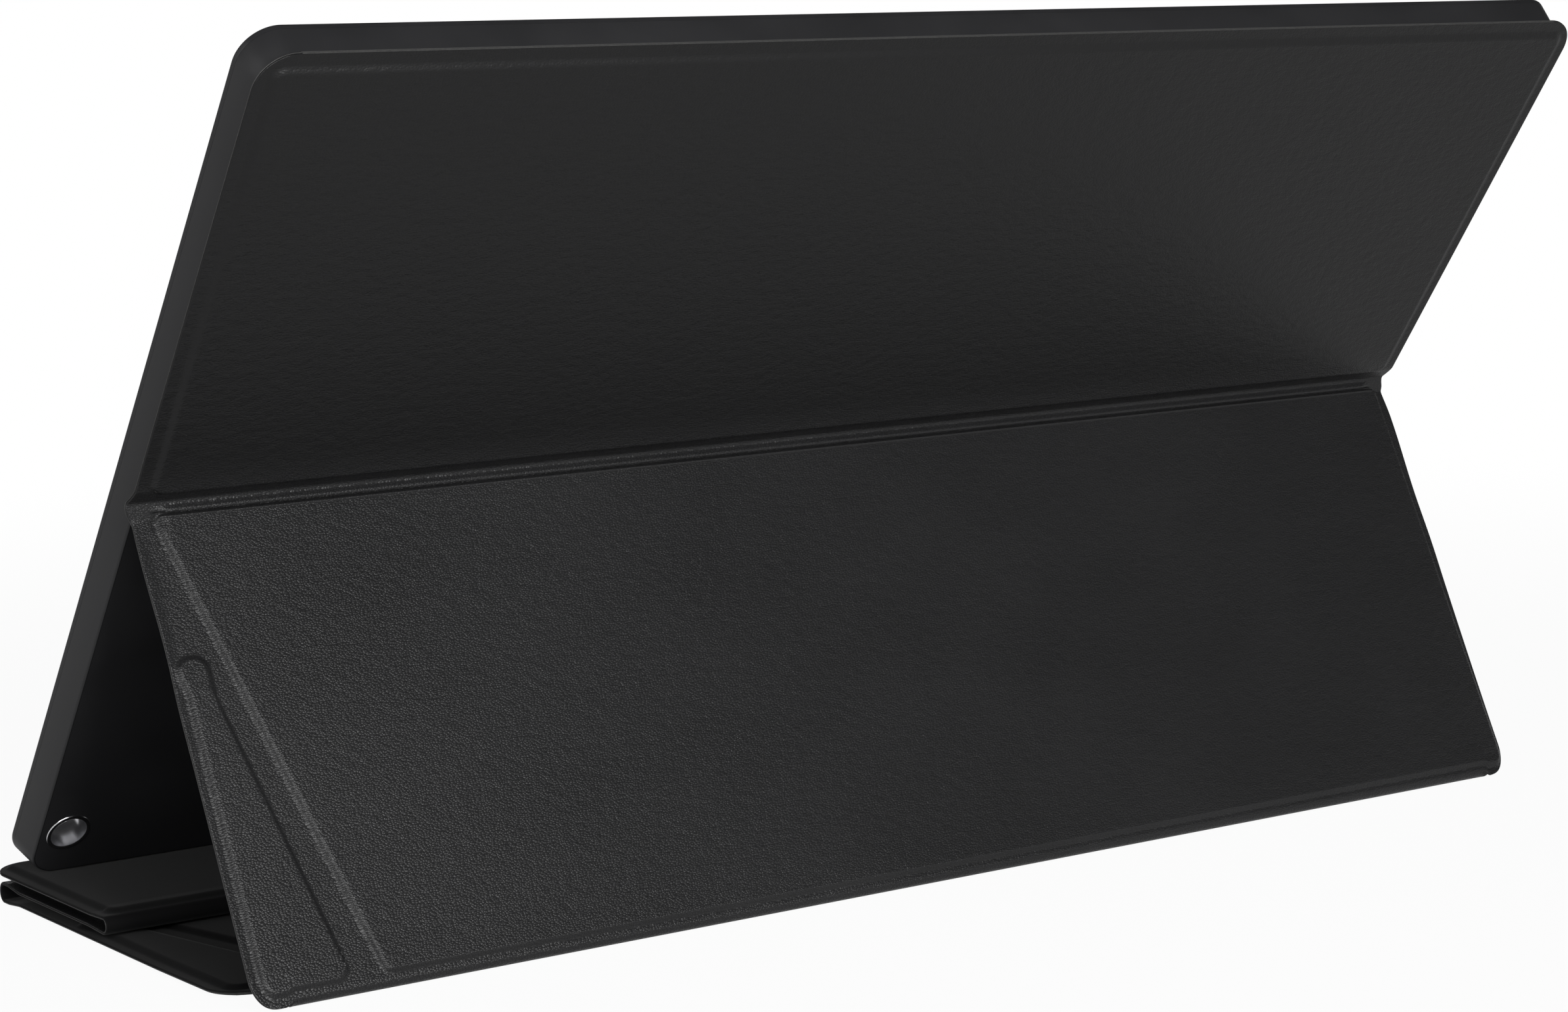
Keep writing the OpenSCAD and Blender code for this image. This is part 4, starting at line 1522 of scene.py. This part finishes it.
    def bezel(self) -> bpy.types.Object:
        """Front frame: rings from the window's inside, over the face, round to the parting line.

        Returns:
            The frame.
        """
        z = self.z
        outer = [(0.0, z.parting)] + self.edge_profile(0.35, 0.35, 0.35, 180.0, 270.0)
        rings = [self.ring(inset, depth) for inset, depth in outer]
        window = rounded_rectangle(z.view_width, z.view_height, 0.6, self.CORNER_STEPS)
        for spread, depth in ((0.25, 0.0), (0.07, 0.07), (0.0, 0.25), (0.0, z.parting)):
            wide = rounded_rectangle(z.view_width + 2 * spread, z.view_height + 2 * spread, 0.6 + spread,
                                     self.CORNER_STEPS)
            rings.append(AXES.monitor_points(wide[:, 0], depth, wide[:, 1] + z.view_low - spread))
        obj = make_object("front_frame", np.vstack(rings), torus_faces(len(rings), len(window)), sharp=35.0)
        self.turn_outwards(obj)
        cutters = [self.cylinder_cutter(z.pen_radius + z.liner)]
        for x in self.button_places():
            outline_x, outline_up = self.stadium(x, z.button_height, z.button_length + 0.3, z.button_width + 0.3)
            cutters.append(self.loft("key_cutter", [AXES.monitor_points(outline_x, depth, outline_up)
                                                    for depth in (-3.0, 3.0)]))
        cut(obj, cutters)
        obj.data.materials.append(self.face.build())
        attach(obj, "monitor")
        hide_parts("front_bezel")
        return obj

    def button_places(self) -> list[float]:
        """Places of the two buttons across the bezel.

        Returns:
            The two places.
        """
        z = self.z
        first = -z.width / 2 + z.button_from_side
        return [first, first + z.button_pitch]

    def buttons(self) -> None:
        """Two caps with softly rolled edges, each over its flange."""
        z = self.z
        finish = self.key.build()
        roll = 0.3
        for name, x in zip(("power_button", "menu_button"), self.button_places()):
            rings = []
            for angle in np.radians(np.linspace(90.0, 0.0, 6)):
                inset = roll * (1.0 - math.cos(angle))
                depth = -z.button_proud + roll * (1.0 - math.sin(angle))
                outline = self.stadium(x, z.button_height, z.button_length - 2 * inset, z.button_width - 2 * inset)
                rings.append(AXES.monitor_points(outline[0], depth, outline[1]))
            flange = [(0.0, 1.35), (0.8, 1.35), (0.8, 1.95)]
            for grow, depth in flange:
                outline = self.stadium(x, z.button_height, z.button_length + 2 * grow, z.button_width + 2 * grow)
                rings.append(AXES.monitor_points(outline[0], depth, outline[1]))
            cap = self.loft(f"{name}_cap", rings)
            cap.data.materials.append(finish)
            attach(cap, name)
            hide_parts(name)

    def hole_liner(self) -> bpy.types.Object:
        """Polished liner: a tube with a rolled lip on both faces.

        Returns:
            The liner.
        """
        z = self.z
        bore = z.pen_radius
        wall = bore + z.liner
        lip = wall + 0.55
        proud = 0.22
        front = [(lip, 0.0), (lip - 0.08, -proud * 0.7), (lip - 0.3, -proud), (bore + 0.25, -proud),
                 (bore + 0.05, -proud * 0.6), (bore, 0.1)]
        back = [(bore, z.depth - 0.1), (bore + 0.05, z.depth + proud * 0.6), (bore + 0.25, z.depth + proud),
                (lip - 0.3, z.depth + proud), (lip - 0.08, z.depth + proud * 0.7), (lip, z.depth)]
        inside = [(wall, z.depth), (wall, 0.0)]
        obj = self.tube_round_pen_hole("pen_hole_sleeve", front + back + inside)
        obj.data.materials.append(self.chrome.build())
        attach(obj, "monitor")
        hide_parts("pen_hole_liner")
        return obj

    def build(self) -> None:
        """Makes every piece of the monitor that scene pieces replace."""
        for piece in (self.rear_moulding(), self.bezel(), self.hole_liner()):
            LOG.info("%s: %d faces", piece.name, len(piece.data.polygons))
        self.buttons()


# ---------------------------------------------------------------------------
# Finishes of the carried-over nodes
# ---------------------------------------------------------------------------
def dress_nodes() -> None:
    """Gives every node of the frame a finish of its own kind."""
    steel = Moulding("zinc_steel", (0.50, 0.51, 0.53), 0.35, 1.0, 1400.0, 0.00002, 0.2).build()
    nickel = Moulding("nickel_plate", (0.62, 0.61, 0.58), 0.22, 1.0, 1800.0, 0.00001, 0.15).build()
    board = Moulding("solder_mask", (0.012, 0.10, 0.045), 0.35, 0.0, 900.0, 0.00003, 0.3, 0.25).build()
    fibre = Moulding("fibre_board", (0.02, 0.019, 0.018), 0.85, 0.0, 1500.0, 0.00006, 0.5, 0.2).build()
    white = Moulding("white_film", (0.85, 0.86, 0.87), 0.5, 0.0, 2500.0, 0.00001, 0.2, 0.03).build()
    clear = Moulding("acrylic_guide", (0.74, 0.80, 0.82), 0.12, 0.0, 2500.0, 0.00001, 0.1, 0.03).build()
    amber = Moulding("polyimide_cable", (0.55, 0.36, 0.12), 0.35, 0.0, 1600.0, 0.00001, 0.2).build()
    lamps = Moulding("lamp_strip", (0.80, 0.76, 0.55), 0.4, 0.0, 1600.0, 0.00001, 0.2).build()
    black = Moulding("switch_black", (0.02, 0.02, 0.02), 0.5).build()
    glue = Moulding("adhesive_film", (0.55, 0.55, 0.50), 0.3, 0.0, 1200.0, 0.00002, 0.3).build()
    hide = Leather("fold_leather").build()
    finishes = {
        "lcd_cell": ScreenGlass().build(), "film_stack": white, "light_guide": clear,
        "reflector_sheet": white, "panel_chassis": steel, "led_strip": lamps,
        "timing_board": board, "main_board": board, "usb_c_socket": nickel,
        "key_switches": black, "panel_cable": amber, "board_screws": steel,
        "cover_adhesive": glue, "closing_magnets": nickel,
    }
    for name, node in frame["nodes"].items():
        if name in finishes:
            finish = finishes[name]
        elif name.endswith("_board"):
            finish = fibre
        elif name.endswith(("_skin", "_lining", "_crease", "_fold")):
            finish = hide
        else:
            finish = black
        node.data.materials.clear()
        node.data.materials.append(finish)


# ---------------------------------------------------------------------------
# Camera, floor and light
# ---------------------------------------------------------------------------
@dataclass(frozen=True)
class Stage:
    """Camera, floor and lamps."""

    camera_at: tuple[float, float, float] = (504.76, 701.27, 199.35)
    look_at: tuple[float, float, float] = (9.10, 6.35, 81.44)
    roll: float = 0.989
    lens: float = 84.21
    sensor: float = 36.0
    floor_size: float = 60.0
    floor_glow: float = 0.95
    mirrored_floor: float = 0.33
    floor_bounce: float = 0.1
    world_strength: float = 0.035
    sweep_height: tuple[float, float] = (0.02, 0.25)
    lamps_face: tuple[float, float, float] = (0.0, 0.0, 0.09)

    def camera(self) -> None:
        """Places the camera and turns it to look at its mark."""
        data = bpy.data.cameras.new("camera")
        data.lens = self.lens
        data.sensor_width = self.sensor
        data.sensor_fit = "HORIZONTAL"
        data.clip_end = 30.0
        camera = bpy.data.objects.new("camera", data)
        bpy.context.scene.collection.objects.link(camera)
        place = np.array(self.camera_at) * MM
        ahead = np.array(self.look_at) * MM - place
        ahead /= np.linalg.norm(ahead)
        right = np.cross(ahead, (0.0, 0.0, 1.0))
        right /= np.linalg.norm(right)
        up = np.cross(right, ahead)
        turn = math.radians(self.roll)
        new_right = right * math.cos(turn) - up * math.sin(turn)
        new_up = right * math.sin(turn) + up * math.cos(turn)
        columns = np.eye(4)
        columns[:3, 0], columns[:3, 1], columns[:3, 2], columns[:3, 3] = new_right, new_up, -ahead, place
        camera.matrix_world = Matrix(columns.tolist())
        bpy.context.scene.camera = camera

    @staticmethod
    def plain_sight(n: Tree, mirrored: float = 1.0) -> bpy.types.NodeSocket:
        """Tells rays that see the background itself, a mirror image of it or a view through glass.

        Args:
            n: The node tree to add to.
            mirrored: How much of the background a mirror image shows.

        Returns:
            A socket that is 1 for the camera and for glass, the given share for mirror
            images, and 0 for light that only falls on things.
        """
        rays = n.add("ShaderNodeLightPath")
        seen = n.math("MULTIPLY", rays, "Is Glossy Ray", mirrored)
        for kind in ("Is Camera Ray", "Is Transmission Ray"):
            seen = n.math("MAXIMUM", seen, "Value")
            n.join(rays, kind, seen, 1)
        return seen.outputs["Value"]

    def backdrop(self, n: Tree) -> bpy.types.NodeSocket:
        """Brightness of the white backdrop: a sweep that ends under a dim ceiling.

        The camera sees it white all over.  A mirror image of it is white up to a low
        height above the horizon and fades upwards to the soft light's strength.

        Args:
            n: The world's node tree.

        Returns:
            A socket with the strength.
        """
        parts = n.add("ShaderNodeSeparateXYZ")
        n.join(n.add("ShaderNodeTexCoord"), "Generated", parts, "Vector")
        fade = n.scaled(parts, "Z", self.sweep_height, (1.0, self.world_strength), interpolation_type="SMOOTHSTEP")
        strength = n.math("MAXIMUM", fade, "Result")
        n.join(n.add("ShaderNodeLightPath"), "Is Camera Ray", strength, 1)
        return strength.outputs["Value"]

    def floor(self) -> None:
        """A pale floor that stays white to the camera and keeps the object's shadow."""
        half = self.floor_size / 2
        points = np.array([[-half, -half, 0.0], [half, -half, 0.0], [half, half, 0.0], [-half, half, 0.0]]) / MM
        floor = make_object("floor", points, [(0, 1, 2, 3)])
        n = Nodes("pale_floor")
        n.set(n.shader, Roughness=0.9)
        n.shader.inputs["Base Color"].default_value = (0.56, 0.56, 0.56, 1.0)
        away = n.add("ShaderNodeVectorMath", operation="LENGTH")
        n.join(n.place(False), "Vector", away, 0)
        seen = n.scaled(away, "Value", (0.25, 0.8), (self.floor_glow, 1.0), interpolation_type="SMOOTHSTEP")
        share = n.add("ShaderNodeMix", data_type="FLOAT")
        share.inputs[2].default_value = self.floor_bounce
        n.tree.links.new(self.plain_sight(n, self.mirrored_floor), share.inputs[0])
        n.tree.links.new(seen.outputs["Result"], share.inputs[3])
        mix = n.add("ShaderNodeMixShader")
        n.tree.links.new(share.outputs[0], mix.inputs[0])
        n.join(n.shader, "BSDF", mix, 1)
        n.join(n.emission("ShaderNodeEmission"), "Emission", mix, 2)
        n.join(mix, "Shader", n.output, "Surface")
        floor.data.materials.append(n.material)

    def world(self) -> None:
        """Even surroundings, white to the camera."""
        world = bpy.data.worlds.new("studio")
        world.use_nodes = True
        n = Tree(world.node_tree)
        mix = n.add("ShaderNodeMixShader")
        n.tree.links.new(self.plain_sight(n), mix.inputs[0])
        n.join(n.emission("ShaderNodeBackground", self.world_strength), "Background", mix, 1)
        n.join(n.emission("ShaderNodeBackground", self.backdrop(n)), "Background", mix, 2)
        n.join(mix, "Shader", n.add("ShaderNodeOutputWorld"), "Surface")
        bpy.context.scene.world = world

    def lamp(self, name: str, place: Sequence[float], size: tuple[float, float], watts: float) -> None:
        """Adds a rectangular soft lamp that faces the object's middle.

        Args:
            name: Name of the lamp.
            place: Where it stands, in metres.
            size: Its width and height, in metres.
            watts: Its power.
        """
        data = bpy.data.lights.new(name, "AREA")
        data.shape = "RECTANGLE"
        data.size, data.size_y = size
        data.energy = watts
        lamp = bpy.data.objects.new(name, data)
        bpy.context.scene.collection.objects.link(lamp)
        direction = Vector(self.lamps_face) - Vector(place)
        lamp.rotation_mode = "QUATERNION"
        lamp.rotation_quaternion = direction.to_track_quat("-Z", "Y")
        lamp.location = place

    def build(self) -> None:
        """Makes the camera, the floor, the world and six soft lamps."""
        self.camera()
        self.floor()
        self.world()
        for name, place, size, watts in (
            ("front_of_leg", (0.05, 1.22, 0.40), (0.6, 0.4), 13.0),
            ("over_the_leg", (0.40, 1.10, 0.75), (0.6, 0.5), 7.0),
            ("left_of_camera", (0.80, 0.80, 0.45), (0.3, 0.3), 4.0),
            ("high_side", (1.1, 0.1, 0.45), (0.5, 0.5), 1.5),
            ("low_side", (1.1, 0.0, 0.15), (0.4, 0.3), 0.8),
            ("fill_front", (-0.6, -1.6, 1.0), (1.2, 1.0), 2.0),
        ):
            self.lamp(name, place, size, watts)
        bpy.context.scene.view_settings.view_transform = "Standard"


def main() -> None:
    """Builds the stage, the monitor and its cover, and dresses the frame's nodes."""
    logging.basicConfig(level=logging.INFO, format="%(name)s: %(message)s")
    Stage().build()
    dress_nodes()
    Monitor(HousingSizes()).build()
    Cover(CoverSizes()).build()


if __name__ == "__main__":
    main()
